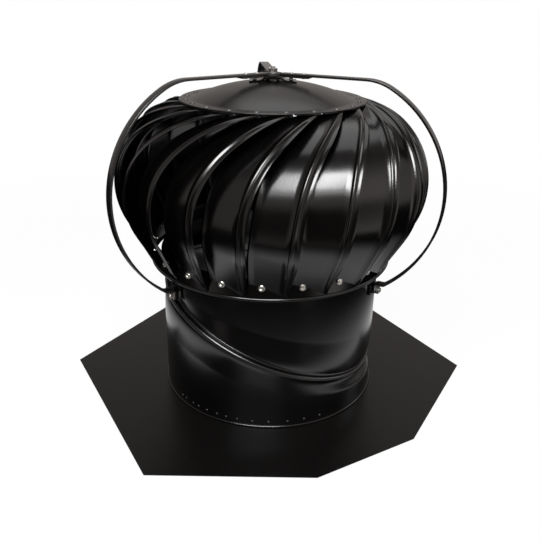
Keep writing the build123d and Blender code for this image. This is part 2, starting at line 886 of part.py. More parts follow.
with BuildPart() as hub_spider:
    with BuildSketch(Plane.XY.offset(hub_underside)):
        Circle(hub_disc_radius)
        for angle in brace_angles:
            with Locations(Location((0, 0), angle)):
                Rectangle(hub_leg_reach, hub_leg_width, align=(Align.MIN, Align.CENTER))
        Circle(bearing_radius + seat_gap, mode=Mode.SUBTRACT)
        for angle in brace_angles:
            for radius in hub_screw_radii:
                with Locations(Location((0, 0), angle)):
                    with Locations((radius, 0)):
                        Circle(rivet_shank_radius + fastener_gap, mode=Mode.SUBTRACT)
    extrude(amount=hub_top - hub_underside)
finish(hub_spider, "hub_spider")

with BuildPart() as hub_rivets:
    for angle in brace_angles:
        for radius in hub_screw_radii:
            with Locations(
                radial_plane(angle).from_local_coords(
                    Vector(radius, arm_level + arm_thickness / 2, 0)
                )
            ):
                add(rivet_blank(arm_thickness + hub_top - hub_underside))
finish(hub_rivets, "hub_rivets")

with BuildPart() as upper_bearing:
    with BuildSketch(Plane.XZ):
        with BuildLine():
            Polyline(
                (shaft_radius + running_gap, hub_underside),
                (bearing_radius, hub_underside),
                (bearing_radius, hub_top),
                (bearing_flange_radius, hub_top),
                (bearing_flange_radius, hub_top + bearing_flange_thickness),
                (shaft_radius + running_gap, hub_top + bearing_flange_thickness),
                close=True,
            )
        make_face()
    revolve(axis=Axis.Z)
finish(upper_bearing, "upper_bearing")

# ================================================================ lower spider
# Three legs inside the throat carry the lower bearing. The brace's bolts hold their
# turned-down ends too.
throat_bore_radius = throat_radius - throat_wall
tab_face_radius = (
    math.sqrt(throat_bore_radius**2 - (spider_leg_width / 2) ** 2) - spider_tab_gap
)

with BuildPart() as lower_spider:
    with BuildSketch(Plane.XY.offset(spider_height)):
        Circle(spider_hub_radius)
        for angle in brace_angles:
            with Locations(Location((0, 0), angle)):
                Rectangle(tab_face_radius, spider_leg_width, align=(Align.MIN, Align.CENTER))
        Circle(bearing_radius + seat_gap, mode=Mode.SUBTRACT)
    extrude(amount=-spider_thickness)
    for angle in brace_angles:
        with BuildSketch(radial_plane(angle)):
            with Locations((tab_face_radius, spider_height)):
                Rectangle(spider_thickness, spider_tab_length, align=(Align.MAX, Align.MAX))
        extrude(amount=spider_leg_width / 2, both=True)
        with Locations(facing_plane(angle, tab_face_radius, brace_bolt_height)):
            Cylinder(
                brace_bolt_radius + fastener_gap, 4 * spider_thickness, mode=Mode.SUBTRACT
            )
finish(lower_spider, "lower_spider")

with BuildPart() as lower_bearing:
    with BuildSketch(Plane.XZ):
        with BuildLine():
            Polyline(
                (shaft_radius + running_gap, lower_bearing_bottom),
                (bearing_radius, lower_bearing_bottom),
                (bearing_radius, spider_height),
                (bearing_flange_radius, spider_height),
                (bearing_flange_radius, lower_bearing_top),
                (shaft_radius + running_gap, lower_bearing_top),
                close=True,
            )
        make_face()
    revolve(axis=Axis.Z)
finish(lower_bearing, "lower_bearing")

# ================================================================ brace bolts and nuts
bolt_seat_radius = tab_face_radius - spider_thickness
nut_seat_radius = foot_radius + arm_thickness / 2
bolt_length = nut_seat_radius + brace_nut_height + brace_bolt_end - bolt_seat_radius

with BuildPart() as brace_bolts:
    with Locations(
        *[facing_plane(angle, bolt_seat_radius, brace_bolt_height) for angle in brace_angles]
    ):
        Cylinder(
            brace_bolt_radius, bolt_length, align=(Align.CENTER, Align.CENTER, Align.MIN)
        )
        Cylinder(
            brace_bolt_head_radius,
            brace_bolt_head_height,
            align=(Align.CENTER, Align.CENTER, Align.MAX),
        )
finish(brace_bolts, "brace_bolts")

with BuildPart() as brace_nuts:
    with Locations(
        *[facing_plane(angle, nut_seat_radius, brace_bolt_height) for angle in brace_angles]
    ):
        add(hex_nut(brace_nut_width, brace_nut_height, brace_bolt_radius + fastener_gap))
finish(brace_nuts, "brace_nuts")
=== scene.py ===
import json
import math

import bmesh
import bpy
import numpy as np
from mathutils import Matrix, Vector


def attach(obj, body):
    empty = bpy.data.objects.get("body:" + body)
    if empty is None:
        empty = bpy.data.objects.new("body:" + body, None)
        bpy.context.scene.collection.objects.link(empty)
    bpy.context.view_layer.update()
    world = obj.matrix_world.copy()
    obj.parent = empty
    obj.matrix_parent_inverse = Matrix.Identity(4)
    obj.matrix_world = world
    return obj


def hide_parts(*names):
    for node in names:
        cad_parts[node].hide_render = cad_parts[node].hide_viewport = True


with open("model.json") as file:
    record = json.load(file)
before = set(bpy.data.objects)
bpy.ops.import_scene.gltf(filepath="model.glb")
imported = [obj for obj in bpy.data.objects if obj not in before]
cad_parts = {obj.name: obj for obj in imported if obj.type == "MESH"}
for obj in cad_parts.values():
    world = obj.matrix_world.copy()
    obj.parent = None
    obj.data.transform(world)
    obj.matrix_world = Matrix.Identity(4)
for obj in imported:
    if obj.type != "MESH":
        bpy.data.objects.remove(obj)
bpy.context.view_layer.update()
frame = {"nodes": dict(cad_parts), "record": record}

bl_info = {
    "name": "Roof turbine ventilator",
    "version": (1, 0, 0),
    "blender": (4, 5, 0),
    "location": "View3D > Sidebar > Turbine",
    "description": "Builds the painted sheet metal of a braced roof turbine ventilator",
    "category": "Object",
}

MM = 0.001
SEGMENTS = 288
UP = np.array([0.0, 0.0, 1.0])
WHITE, BLACK = (1.0, 1.0, 1.0), (0.0, 0.0, 0.0)
BODY_BASE = "base"
BODY_SWIVEL = "swivel"
BODY_HEAD = "turbine_head"
VANE_NODES = sorted(n for n in frame["nodes"] if n.startswith("vane_"))
ARM_NODES = sorted(n for n in frame["nodes"] if n.startswith("brace_arm_"))


# ------------------------------------------------------------------ sizes and colours
def length(name, description, millimetres):
    return bpy.props.FloatProperty(
        name=name, description=description, default=millimetres * MM, unit="LENGTH"
    )


def angle(name, description, degrees):
    return bpy.props.FloatProperty(
        name=name, description=description, default=math.radians(degrees), subtype="ANGLE"
    )


def colour(name, description, default):
    return bpy.props.FloatVectorProperty(
        name=name, description=description, default=default, size=3, subtype="COLOR", min=0,
        max=1,
    )


class HeadSizes(bpy.types.PropertyGroup):
    vane_width: length("Vane width", "From a vane's rib to its inner edge, at both ends", 50.7)
    vane_swell: length("Vane swell", "How much wider a vane is over most of its length", 4.0)
    lip_width: length("Lip width", "Width of the folded lip outside a vane's rib", 6.6)
    lip_height: length("Lip height", "How far the folded lip stands out", 0.8)
    vane_sheet: length("Vane sheet", "Thickness of a vane's sheet", 0.9)
    foot_angle: angle("First foot", "Where the first vane's rib leaves the ring", -99.8)
    sweep: angle("Sweep", "How far a vane's rib runs round the head", 37.6)
    sweep_power: bpy.props.FloatProperty(
        name="Sweep power", description="How late a vane starts to turn", default=4.27,
    )
    rib_width: length("Rib width", "Width of the rib along a vane's outer edge", 6.8)
    rib_height: length("Rib height", "How far a vane's rib stands out", 2.3)
    crown_height: length("Crown", "Height of the dome's top", 439.5)
    rim_height: length("Rim", "Height of the dome's flat rim", 417.0)
    rim_radius: length("Rim radius", "Outside of the dome's flat rim", 122.4)


class ThroatSizes(bpy.types.PropertyGroup):
    neck_radius: length(
        "Neck radius", "Outside of both throats beside the oblique joint", 160.2
    )
    tube_radius: length("Upper tube", "Outside of the upper throat", 155.0)
    base_radius: length("Lower tube", "Outside of the lower throat", 156.0)
    wall: length("Wall", "Thickness of the throats' sheet", 1.2)
    bar_width: length("Bar width", "Width of a brace bar", 12.7)
    bar_thickness: length("Bar thickness", "Thickness of a brace bar", 3.0)


class FinishColours(bpy.types.PropertyGroup):
    head: colour("Head paint", "Gloss enamel of the turbine head", (0.0008, 0.00065, 0.0006))
    throat: colour("Throat paint", "Gloss enamel of the throats", (0.0007, 0.0006, 0.0006))
    brace: colour(
        "Brace paint", "Enamel of the brace and its fittings", (0.003, 0.0028, 0.0027)
    )
    # Paler than the enamel round it: a painted highlight that stands in for the glints on the
    # domed rivet heads and the stakes.
    rivets: colour(
        "Rivet paint", "Worn paint on the rim's rivets and the stakes", (0.045, 0.042, 0.04)
    )
    flashing: colour("Flashing paint", "Satin paint of the flashing", (0.0022, 0.0019, 0.0018))
    zinc: colour("Zinc", "Plating of the screws, nuts and bolts", (0.72, 0.70, 0.66))


class StageSettings(bpy.types.PropertyGroup):
    camera_distance: length("Camera distance", "In front of the throat's axis", 863.3)
    camera_height: length("Camera height", "Above the underside of the flashing", 547.4)
    camera_pitch: angle("Camera pitch", "How far the camera looks down", 23.77)
    camera_roll: angle("Camera roll", "Turn of the camera about its own axis", 0.88)
    lamp_power: bpy.props.FloatProperty(
        name="Lamps", description="Share of the lamps' full power", default=1.0, min=0.0,
    )
    floor_tone: bpy.props.FloatProperty(
        name="Floor tone", description="Paleness of the floor", default=0.86, min=0, max=1,
    )


# ------------------------------------------------------------------ node trees
class Term:
    """A shader socket that takes part in plain arithmetic."""

    def __init__(self, board, socket):
        self.board = board
        self.socket = socket

    def _with(self, operation, *others):
        return self.board.term("ShaderNodeMath", {"operation": operation}, dict(enumerate(others)))

    def __add__(self, other):
        return self._with("ADD", self, other)

    __radd__ = __add__

    def __mul__(self, other):
        return self._with("MULTIPLY", self, other)

    __rmul__ = __mul__

    def __sub__(self, other):
        return self._with("SUBTRACT", self, other)

    def __rsub__(self, other):
        return self._with("SUBTRACT", other, self)

    def __pow__(self, other):
        return self._with("POWER", self, other)

    def at_most(self, other):
        return self._with("MINIMUM", self, other)

    def at_least(self, other):
        return self._with("MAXIMUM", self, other)

    def kept_in(self, low=0.0, high=1.0):
        return self.at_least(low).at_most(high)


class Wiring:
    """A node tree under construction."""

    def __init__(self, tree):
        self.tree = tree

    def plug(self, socket, value):
        """Link a term or another socket to a socket, or set its value."""
        source = value.socket if isinstance(value, Term) else value
        if isinstance(source, bpy.types.NodeSocket):
            self.tree.links.new(source, socket)
        else:
            socket.default_value = source

    def node(self, kind, settings=None, values=None):
        """Add a node, give it its settings, then its sockets' values or links."""
        made = self.tree.nodes.new(kind)
        for key, value in (settings or {}).items():
            setattr(made, key, value)
        for key, value in (values or {}).items():
            self.plug(made.inputs[key], value)
        return made

    def term(self, kind, settings=None, values=None, output=0):
        return Term(self, self.node(kind, settings, values).outputs[output])


class Board(Wiring):
    """The node tree of one material or world."""

    def __init__(self, owner):
        owner.use_nodes = True
        super().__init__(owner.node_tree)
        self.tree.nodes.clear()

    def place(self):
        return self.node("ShaderNodeTexCoord").outputs["Object"]

    def noise(self, scale, detail=2.0, roughness=0.5):
        """Noise pattern, its scale in repeats to the metre."""
        return self.term(
            "ShaderNodeTexNoise",
            values={
                "Vector": self.place(), "Scale": scale, "Detail": detail,
                "Roughness": roughness,
            },
            output="Fac",
        )

    def blend(self, share, first, second, kind="MIX"):
        """Colour between two colours, or their sum."""
        node = self.node(
            "ShaderNodeMix", {"data_type": "RGBA", "blend_type": kind}, {"Factor": share}
        )
        sockets = [s for s in node.inputs if s.type == "RGBA"]
        for socket, value in zip(sockets, (first, second)):
            self.plug(socket, value if isinstance(value, Term) else (*value, 1.0))
        return Term(self, [s for s in node.outputs if s.type == "RGBA"][0])

    def bump(self, height, strength, distance):
        return self.term(
            "ShaderNodeBump",
            values={"Height": height, "Strength": strength, "Distance": distance},
            output="Normal",
        )

    def light(self, kind, colour, strength):
        """Emission or background of one colour."""
        return self.term(kind, values={"Color": (*colour, 1.0), "Strength": strength})

    def mix(self, share, first, second):
        """Shader between two shaders."""
        return self.term("ShaderNodeMixShader", values={0: share, 1: first, 2: second})

    def rays(self):
        """Whether something is looked at, directly or through glass, or mirrored."""
        paths = self.node("ShaderNodeLightPath")
        direct, through, mirrored = (
            Term(self, paths.outputs[f"Is {ray} Ray"])
            for ray in ("Camera", "Transmission", "Glossy")
        )
        return (direct + through).at_most(1.0), mirrored

    def surface(self, shader, kind="ShaderNodeOutputMaterial"):
        self.node(kind, values={"Surface": shader})

    def principled(self, values):
        self.surface(self.term("ShaderNodeBsdfPrincipled", values=values))


class Works(Wiring):
    """A Geometry Nodes tree that ends in copies set round the vertical axis."""

    def __init__(self, name, inputs):
        super().__init__(bpy.data.node_groups.new(name, "GeometryNodeTree"))
        face = self.tree.interface
        face.new_socket("Geometry", in_out="INPUT", socket_type="NodeSocketGeometry")
        self.keys = {}
        for label, kind in (
            *inputs, ("Count", "Int"), ("First Angle", "Float"), ("Finish", "Material")
        ):
            socket = face.new_socket(label, in_out="INPUT", socket_type="NodeSocket" + kind)
            self.keys[label] = socket.identifier
        face.new_socket("Geometry", in_out="OUTPUT", socket_type="NodeSocketGeometry")
        self.entry = self.tree.nodes.new("NodeGroupInput")
        self.exit = self.tree.nodes.new("NodeGroupOutput")

    def given(self, label):
        return self.entry.outputs[label]

    def put(self, kind, settings=None, **values):
        """First output of a node whose sockets are named with _ for a space."""
        named = {key.replace("_", " "): value for key, value in values.items()}
        return self.node(kind, settings, named).outputs[0]

    def close(self, part):
        """Set copies of a part round the axis, as real geometry with its finish."""
        points = self.put("GeometryNodePoints", Count=self.given("Count"))
        index = self.put("GeometryNodeInputIndex")
        step = self.term(
            "ShaderNodeMath", {"operation": "DIVIDE"}, {0: math.tau, 1: self.given("Count")}
        )
        turned = self.term(
            "ShaderNodeMath",
            {"operation": "MULTIPLY_ADD"},
            {0: index, 1: step, 2: self.given("First Angle")},
        )
        spin = self.put("ShaderNodeCombineXYZ", Z=turned)
        copies = self.put(
            "GeometryNodeInstanceOnPoints", Points=points, Instance=part, Rotation=spin
        )
        real = self.put("GeometryNodeRealizeInstances", Geometry=copies)
        dressed = self.put(
            "GeometryNodeSetMaterial", Geometry=real, Material=self.given("Finish")
        )
        self.plug(self.exit.inputs[0], dressed)
        return self


# ------------------------------------------------------------------ finishes
ENAMEL_GLOSS = 0.6
ENAMEL_PEEL = (0.1, 0.0006)
DUST_COLOUR = (0.35, 0.33, 0.31)
DUST_FROM, DUST_SHARE = 0.62, 0.006
SATIN_GLOSS = 0.35
SATIN_GRAIN = (0.25, 0.0005)
SCUFF_FROM, SCUFF_SHARE = 0.6, 0.12
ZINC_GRAIN = (0.15, 0.0003)
STEEL_TONES = ((0.42, 0.42, 0.43), (0.6, 0.6, 0.6))
NYLON_TONES = ((0.01, 0.01, 0.011), (0.022, 0.022, 0.023))
WALL_COLOUR = (1.0, 0.92, 0.88)
LEAST_ROUGHNESS = 0.03
# metres from the middle where the floor turns white, or its mirror image dark
FLOOR_FADE, FLOOR_GLOW = 0.7, 0.96
MIRROR_FADE, MIRROR_RANGE = 0.5, (0.12, 0.95)


def shade(colour, factor):
    """A colour made lighter or darker."""
    return tuple(min(1.0, c * factor) for c in colour)


def new_material(name):
    material = bpy.data.materials.new(name)
    return material, Board(material)


def gloss_enamel(name, colour, roughness):
    """Stoved gloss enamel on pressed sheet: faint orange peel, dust and handling haze."""
    material, board = new_material(name)
    cloud = board.noise(9.0, 3.0, 0.55)
    speck = board.noise(1400.0, 1.0, 0.4)
    haze = board.noise(34.0, 4.0, 0.6)
    tone = board.blend(cloud, shade(colour, 0.72), shade(colour, 1.45))
    dust = ((speck - DUST_FROM) * 6.0).kept_in() * DUST_SHARE
    dusty = board.blend(1.0, tone, board.blend(dust, BLACK, DUST_COLOUR), "ADD")
    peel = board.noise(420.0, 1.5) * 0.4 + board.noise(38.0)
    rough = roughness + (haze - 0.5) * 0.1
    board.principled({
        "Base Color": dusty,
        "Roughness": rough.at_least(LEAST_ROUGHNESS),
        "Specular IOR Level": ENAMEL_GLOSS,
        "Normal": board.bump(peel, *ENAMEL_PEEL),
    })
    return material


def satin_paint(name, colour):
    """Satin powder coat on flat sheet, with faint rolling marks and scuffs."""
    material, board = new_material(name)
    cloud = board.noise(7.0, 4.0, 0.6)
    grain = board.noise(900.0)
    scuff = board.noise(60.0, 5.0, 0.65)
    tone = board.blend(cloud, shade(colour, 0.85), shade(colour, 1.2))
    worn = ((scuff - SCUFF_FROM) * 3.0).kept_in() * SCUFF_SHARE
    board.principled({
        "Base Color": board.blend(worn, tone, shade(colour, 2.6)),
        "Roughness": 0.3 + (scuff - 0.5) * 0.14,
        "Specular IOR Level": SATIN_GLOSS,
        "Normal": board.bump(grain * 0.5 + cloud, *SATIN_GRAIN),
    })
    return material


def zinc_plate(name, colour):
    """Bright zinc on small fasteners, with dull patches."""
    material, board = new_material(name)
    patch = board.noise(260.0, 3.0, 0.6)
    board.principled({
        "Base Color": board.blend(patch, shade(colour, 0.75), shade(colour, 1.15)),
        "Metallic": 1.0,
        "Roughness": 0.22 + (patch - 0.4) * 0.3,
        "Normal": board.bump(board.noise(900.0), *ZINC_GRAIN),
    })
    return material


def drawn_steel(name):
    """Drawn bar and turned collars, with a fine grain."""
    material, board = new_material(name)
    grain = board.noise(1800.0, 1.0, 0.4)
    board.principled({
        "Base Color": board.blend(grain, *STEEL_TONES),
        "Metallic": 1.0,
        "Roughness": 0.3 + grain * 0.12,
    })
    return material


def bush_nylon(name):
    """Dark moulded bearing bushes."""
    material, board = new_material(name)
    cloud = board.noise(300.0)
    board.principled({
        "Base Color": board.blend(cloud, *NYLON_TONES),
        "Roughness": 0.5 + (cloud - 0.5) * 0.2,
    })
    return material


def floor_paper(name, tone):
    """Pale paper floor that keeps the shadow near the object and is white beyond it. In
    what the paint mirrors, it is bright beside the flashing and runs into the dark."""
    material, board = new_material(name)
    looked_at, mirrored = board.rays()
    distance = board.term(
        "ShaderNodeVectorMath", {"operation": "LENGTH"}, {0: board.place()}, output="Value"
    )
    beyond = ((distance - FLOOR_FADE) * 1.25).kept_in()
    beside = ((MIRROR_FADE - distance) * 5.0).kept_in(*MIRROR_RANGE) ** 2
    paper = board.term("ShaderNodeBsdfDiffuse", values={"Color": (tone, tone, tone, 1.0)})
    glow = board.light("ShaderNodeEmission", WHITE, 1.0)
    dark = board.light("ShaderNodeEmission", BLACK, 0.0)
    lit = looked_at * (FLOOR_GLOW + beyond * (1.0 - FLOOR_GLOW))
    seen = board.mix(lit, paper, glow)
    board.surface(board.mix(mirrored, seen, board.mix(beside, dark, glow)))
    return material


def studio_world(name, room):
    """White round about for whoever looks, with the room's dark front low down and its
    dim ceiling in what the paint mirrors."""
    world = bpy.data.worlds.new(name)
    board = Board(world)
    looked_at, mirrored = board.rays()
    way = board.node(
        "ShaderNodeSeparateXYZ",
        values={0: board.node("ShaderNodeTexCoord").outputs["Generated"]},
    )
    side, ahead, up = (Term(board, way.outputs[axis]) for axis in "XYZ")
    front = ((-0.55 - ahead) * 4.0).kept_in()
    low = ((0.3 - up) * 5.0).kept_in()
    ceiling = ((up - 0.55) * 4.0).kept_in()
    flank = ((side - 0.12) * 3.0).kept_in() * ((-0.15 - ahead) * 3.0).kept_in()
    lit = mirrored * (1.0 - front * low) * (
        0.42 + side * 0.1 + flank * 0.45 - ceiling * 0.33
    )
    backdrop = board.light("ShaderNodeBackground", WHITE, 1.0)
    dim = board.light("ShaderNodeBackground", WALL_COLOUR, room)
    walls = board.light("ShaderNodeBackground", WALL_COLOUR, 1.0)
    everywhere = board.mix(looked_at, board.mix(lit, dim, walls), backdrop)
    board.surface(everywhere, "ShaderNodeOutputWorld")
    return world


# finish, its material's name, the colour that it takes and its roughness
ENAMELS = (
    ("head_paint", "head_enamel", "head", 0.19),
    ("dome_paint", "dome_enamel", "head", 0.3),
    ("throat", "throat_enamel", "throat", 0.21),
    ("frame_paint", "brace_enamel", "brace", 0.2),
    # the rivets' enamel is paler than the head's, a painted highlight for their glints
    ("rivet_paint", "rivet_enamel", "rivets", 0.26),
)
FINISHES = {}


class MixFinishes(bpy.types.Operator):
    """Every finish, made once from the colours"""

    bl_idname = "turbine.finishes"
    bl_label = "Finishes"

    def execute(self, context):
        colours = context.scene.turbine_finish
        for finish, name, colour, roughness in ENAMELS:
            FINISHES[finish] = gloss_enamel(name, getattr(colours, colour), roughness)
        FINISHES["flashing"] = satin_paint("flashing_satin", colours.flashing)
        FINISHES["zinc"] = zinc_plate("zinc_plate", colours.zinc)
        FINISHES["steel"] = drawn_steel("drawn_steel")
        FINISHES["bushing"] = bush_nylon("bush_nylon")
        return {"FINISHED"}


# ------------------------------------------------------------------ mesh writing
# Lengths are in millimetres from here on, apart from those of the finished points.
MERGE_METRES, CAD_MERGE_METRES = 1e-7, 1e-6
CROSS_WAIST, CROSS_REACH = 0.72, 0.45


def new_object(name, vertices, faces, smooth=True, sharp=32.0):
    """Closed mesh object from plain lists, its faces turned outwards."""
    mesh = bpy.data.meshes.new(name)
    mesh.from_pydata([tuple(map(float, v)) for v in vertices], [], faces)
    shell = bmesh.new()
    shell.from_mesh(mesh)
    bmesh.ops.remove_doubles(shell, verts=shell.verts, dist=MERGE_METRES)
    bmesh.ops.recalc_face_normals(shell, faces=shell.faces)
    shell.to_mesh(mesh)
    shell.free()
    if smooth:
        smooth_over(mesh, sharp)
    return linked(name, mesh)


def smooth_over(mesh, sharp):
    """Smooth shading, broken at edges sharper than an angle in degrees."""
    mesh.polygons.foreach_set("use_smooth", [True] * len(mesh.polygons))
    mesh.set_sharp_from_angle(angle=math.radians(sharp))


def linked(name, data):
    """New object in the scene, made from a mesh, curve, lamp or camera."""
    made = bpy.data.objects.new(name, data)
    bpy.context.scene.collection.objects.link(made)
    return made


def closed_rounds(loops):
    """Vertices and quads of a ring-shaped skin through closed loops, the last joined
    to the first."""
    around = len(loops[0])
    count = len(loops) * around
    faces = []
    for first in range(0, count, around):
        following = (first + around) % count
        for step in range(around):
            after = (step + 1) % around
            faces.append((first + step, first + after, following + after, following + step))
    return np.concatenate(loops), faces


def swept(sections, turned=()):
    """Vertices and faces of a closed solid through sections of as many points each. The
    quads along its turned sides start at their next corner, which splits them the other way."""
    per = len(sections[0])
    firsts = range(0, len(sections) * per, per)
    faces = []
    for a, b in zip(firsts, firsts[1:]):
        for i in range(per):
            j = (i + 1) % per
            quad = (a + i, a + j, b + j, b + i)
            faces.append(quad[1:] + quad[:1] if i in turned else quad)
    for a in (firsts[0], firsts[-1]):
        for i in range(per // 2 - 1):
            faces.append((a + i, a + i + 1, a + per - 2 - i, a + per - 1 - i))
    return [point for section in sections for point in section], faces


def joined(shells):
    """Vertices and faces of several shells, as one list of each."""
    vertices, faces = [], []
    for points, sides in shells:
        first = len(vertices)
        vertices += points
        faces += [tuple(first + i for i in side) for side in sides]
    return vertices, faces


def round_loop(centre, radius, start=(1.0, 0.0, 0.0), side=(0.0, 1.0, 0.0)):
    """Loop round a centre in millimetres, from one direction towards another."""
    turn = np.linspace(0, math.tau, SEGMENTS, endpoint=False)[:, None]
    spread = np.cos(turn) * np.array(start) + np.sin(turn) * np.array(side)
    return (np.array(centre) + radius * spread) * MM


def round_point(radius, turn, height):
    """Point from its radius, angle and height, in millimetres."""
    return np.array([radius * math.cos(turn), radius * math.sin(turn), height]) * MM


def lathe(name, profile):
    """Turn a closed profile of (radius, height) in millimetres about the axis."""
    return new_object(name, *closed_rounds([round_loop((0, 0, z), r) for r, z in profile]))


def arc(centre, radius, start, end, steps):
    """Points along an arc, angles in degrees."""
    turns = np.radians(np.linspace(start, end, steps))
    return [(centre[0] + radius * math.cos(t), centre[1] + radius * math.sin(t)) for t in turns]


def turned_solid(name, apex, rings, tip, around, sharp, crossed=0):
    """Closed solid from its apex through rings of (radius, height) to its tip. The first
    rings may follow a cross recess."""
    vertices = [(0.0, 0.0, apex)]
    for index, (radius, height) in enumerate(rings):
        for step in range(around):
            a = step / around * math.tau
            lobe = CROSS_WAIST + CROSS_REACH * abs(math.cos(2 * a)) ** 3
            r = radius * (lobe if index < crossed else 1.0)
            vertices.append((r * math.cos(a), r * math.sin(a), height))
    vertices.append((0.0, 0.0, tip))
    last = len(vertices) - 1
    foot = last - around
    faces = []
    for i in range(around):
        j = (i + 1) % around
        faces += [(0, 1 + i, 1 + j), (last, foot + j, foot + i)]
        for a in range(1, foot, around):
            b = a + around
            faces.append((a + i, b + i, b + j, a + j))
    return new_object(name, np.array(vertices) * MM, faces, sharp=sharp)


def domed_rivet(name, radius, height):
    """Rivet head on the level z = 0, its foot sunk into the sheet."""
    rings, sunk = 7, -0.3
    quarter = [ring / rings * math.pi / 2 for ring in range(1, rings + 1)]
    dome = [(radius * math.sin(t), height * math.cos(t)) for t in quarter]
    return turned_solid(name, height, dome + [(radius, sunk)], sunk, around=20, sharp=50.0)


def crossed_screw(name, radius, height, shank, reach):
    """Pan head screw standing on z = 0, with a cross recess and its shank below."""
    recess = radius * 0.5
    rings = [
        (recess * 0.5, height * 0.66), (recess, height * 0.97), (recess * 1.25, height),
        (radius * 0.72, height * 0.93), (radius * 0.9, height * 0.72),
        (radius, height * 0.4), (radius, 0.0), (shank, 0.0), (shank, -reach),
    ]
    return turned_solid(name, height * 0.62, rings, -reach, around=32, sharp=35.0, crossed=3)


def stand_on(piece, origin, normal, turn=0.0):
    """Move a piece's mesh so that its z = 0 level lies at a place and faces outwards."""
    up = Vector(normal).normalized()
    side = Vector((0, 0, 1)).cross(up).normalized()
    ahead = up.cross(side)
    basis = Matrix((side, ahead, up)).transposed().to_4x4()
    placed = Matrix.Translation(Vector(origin)) @ basis @ Matrix.Rotation(turn, 4, "Z")
    piece.data.transform(placed)


def gathered(name, pieces):
    """One mesh object from several, which are removed."""
    shells = []
    for piece in pieces:
        points = [tuple(vertex.co) for vertex in piece.data.vertices]
        shells.append((points, [tuple(face.vertices) for face in piece.data.polygons]))
        bpy.data.objects.remove(piece)
    return new_object(name, *joined(shells), sharp=50.0)


def dress(piece, body, slot, *nodes, finish=None):
    """Give a piece its finish and its body, and hide the CAD nodes that it takes the place of."""
    piece.data.materials.clear()
    piece.data.materials.append(FINISHES[finish or slot])
    if nodes:
        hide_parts(*nodes)
    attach(piece, body)


# ------------------------------------------------------------------ geometry node trees
def round_pattern_works():
    """Copies of a part set out round the vertical axis."""
    works = Works("round_pattern", [("Part", "Object")])
    part = works.node("GeometryNodeObjectInfo", values={"Object": works.given("Part")})
    return works.close(part.outputs["Geometry"])


def bar_works():
    """Flat bar with eased edges along a path, copied round the vertical axis."""
    works = Works(
        "bent_bars",
        [("Path", "Object"), ("Width", "Float"), ("Thickness", "Float"), ("Edge Radius", "Float")],
    )
    path = works.node("GeometryNodeObjectInfo", values={"Object": works.given("Path")})
    section = works.put(
        "GeometryNodeCurvePrimitiveQuadrilateral",
        Width=works.given("Width"),
        Height=works.given("Thickness"),
    )
    eased = works.put(
        "GeometryNodeFilletCurve",
        {"mode": "POLY"},
        Curve=section,
        Radius=works.given("Edge Radius"),
        Count=BAR_EDGE_STEPS,
    )
    bar = works.put(
        "GeometryNodeCurveToMesh",
        Curve=path.outputs["Geometry"],
        Profile_Curve=eased,
        Fill_Caps=True,
    )
    return works.close(bar)


def grow(name, works, values):
    """Run a tree and keep its result as a plain mesh object."""
    carrier = linked(name + "_carrier", bpy.data.meshes.new(name + "_seed"))
    modifier = carrier.modifiers.new("works", "NODES")
    modifier.node_group = works.tree
    for label, value in values.items():
        modifier[works.keys[label]] = value
    carrier.update_tag()
    bpy.context.view_layer.update()
    settled = carrier.evaluated_get(bpy.context.evaluated_depsgraph_get())
    mesh = bpy.data.meshes.new_from_object(settled)
    mesh.name = name
    bpy.data.objects.remove(carrier)
    if not mesh.polygons:
        raise RuntimeError(name + " came out empty")
    return linked(name, mesh)


def set_round(name, part, first_angle, slot):
    """One copy of a part for each vane, as one mesh. The part itself is removed."""
    values = {
        "Part": part, "Count": VANE_COUNT, "First Angle": first_angle,
        "Finish": FINISHES[slot],
    }
    made = grow(name, round_pattern_works(), values)
    bpy.data.objects.remove(part)
    return made


# ------------------------------------------------------------------ the vane's rule
VANE_COUNT = 21
VANE_ROWS = 60
BELLY_RADIUS = 109.0
BELLY_CENTRE = (101.5, 308.3)
BELLY_TOP = math.radians(80.0)
BELLY_BOTTOM = math.radians(-26.9)
FOOT_STRAIGHT = 61.8
LEAN_FOOT, LEAN_RISE, LEAN_FALL, LEAN_POWER = 19.0, 15.3, 24.0, 8
EDGE_LENGTH = FOOT_STRAIGHT + BELLY_RADIUS * (BELLY_TOP - BELLY_BOTTOM)
HEM_WIDTH, HEM_HEIGHT = 3.6, 0.9
SWELL_FADES = (0.24, 0.22)
RELIEF_FADES = (0.06, 0.1)
LEAST_FADE = 0.04
LIP_ROUND, RIB_ROUND, HEM_ROUND = 0.8, 1.3, 0.8
# where the vanes meet the ring and the dome, and where along them that is looked for
FOOT_SEARCH, TOP_SEARCH = (0.0, 0.3), (0.6, 1.0)
TAB_GAP = 0.15
FOOT_TAB_ANGLE = math.tau / VANE_COUNT - math.radians(0.6)
FOOT_LAP = 0.4
LEAST_FOOT_TAB = 0.3
TOP_GAP = 0.2
TOP_INSIDE, TOP_OUTSIDE = 109.5, 122.6
TOP_TAB_INSIDE, TOP_TAB_OUTSIDE = 109.0, 123.5
TOP_TAB_ANGLE, TOP_TAB_STEPS = math.radians(15.6), 16
# the ring, its screws and the rim's rivets
RING_FOOT = (169.3, 200.8)
RING_TOP_HEIGHT = 228.0
RING_LEAN = math.radians(8.0)
RING_BEAD = 2.7
RING_CONE_RISE = 2.5
RING_SHEET = 1.0
SCREW_LAG = math.radians(10.7)
SCREW_HEIGHT = 216.6
SCREW_TURN = math.radians(20)
RIVET_CIRCLE = 115.0
RIVET_LAG = math.radians(2.6)
# the dome
DOME_SHEET = 1.0
DOME_EDGE = 0.5
CROWN_RADIUS = 107.5
CROWN_HOLE = 9.0
CROWN_EASE_START, CROWN_EASE_END = 2.2, 2.6
CROWN_EASE_KNEE = (0.2, 0.02)
CROWN_UNDER_INSET = 4.0


def ring_radius(height):
    return RING_FOOT[0] - (height - RING_FOOT[1]) * math.tan(RING_LEAN)


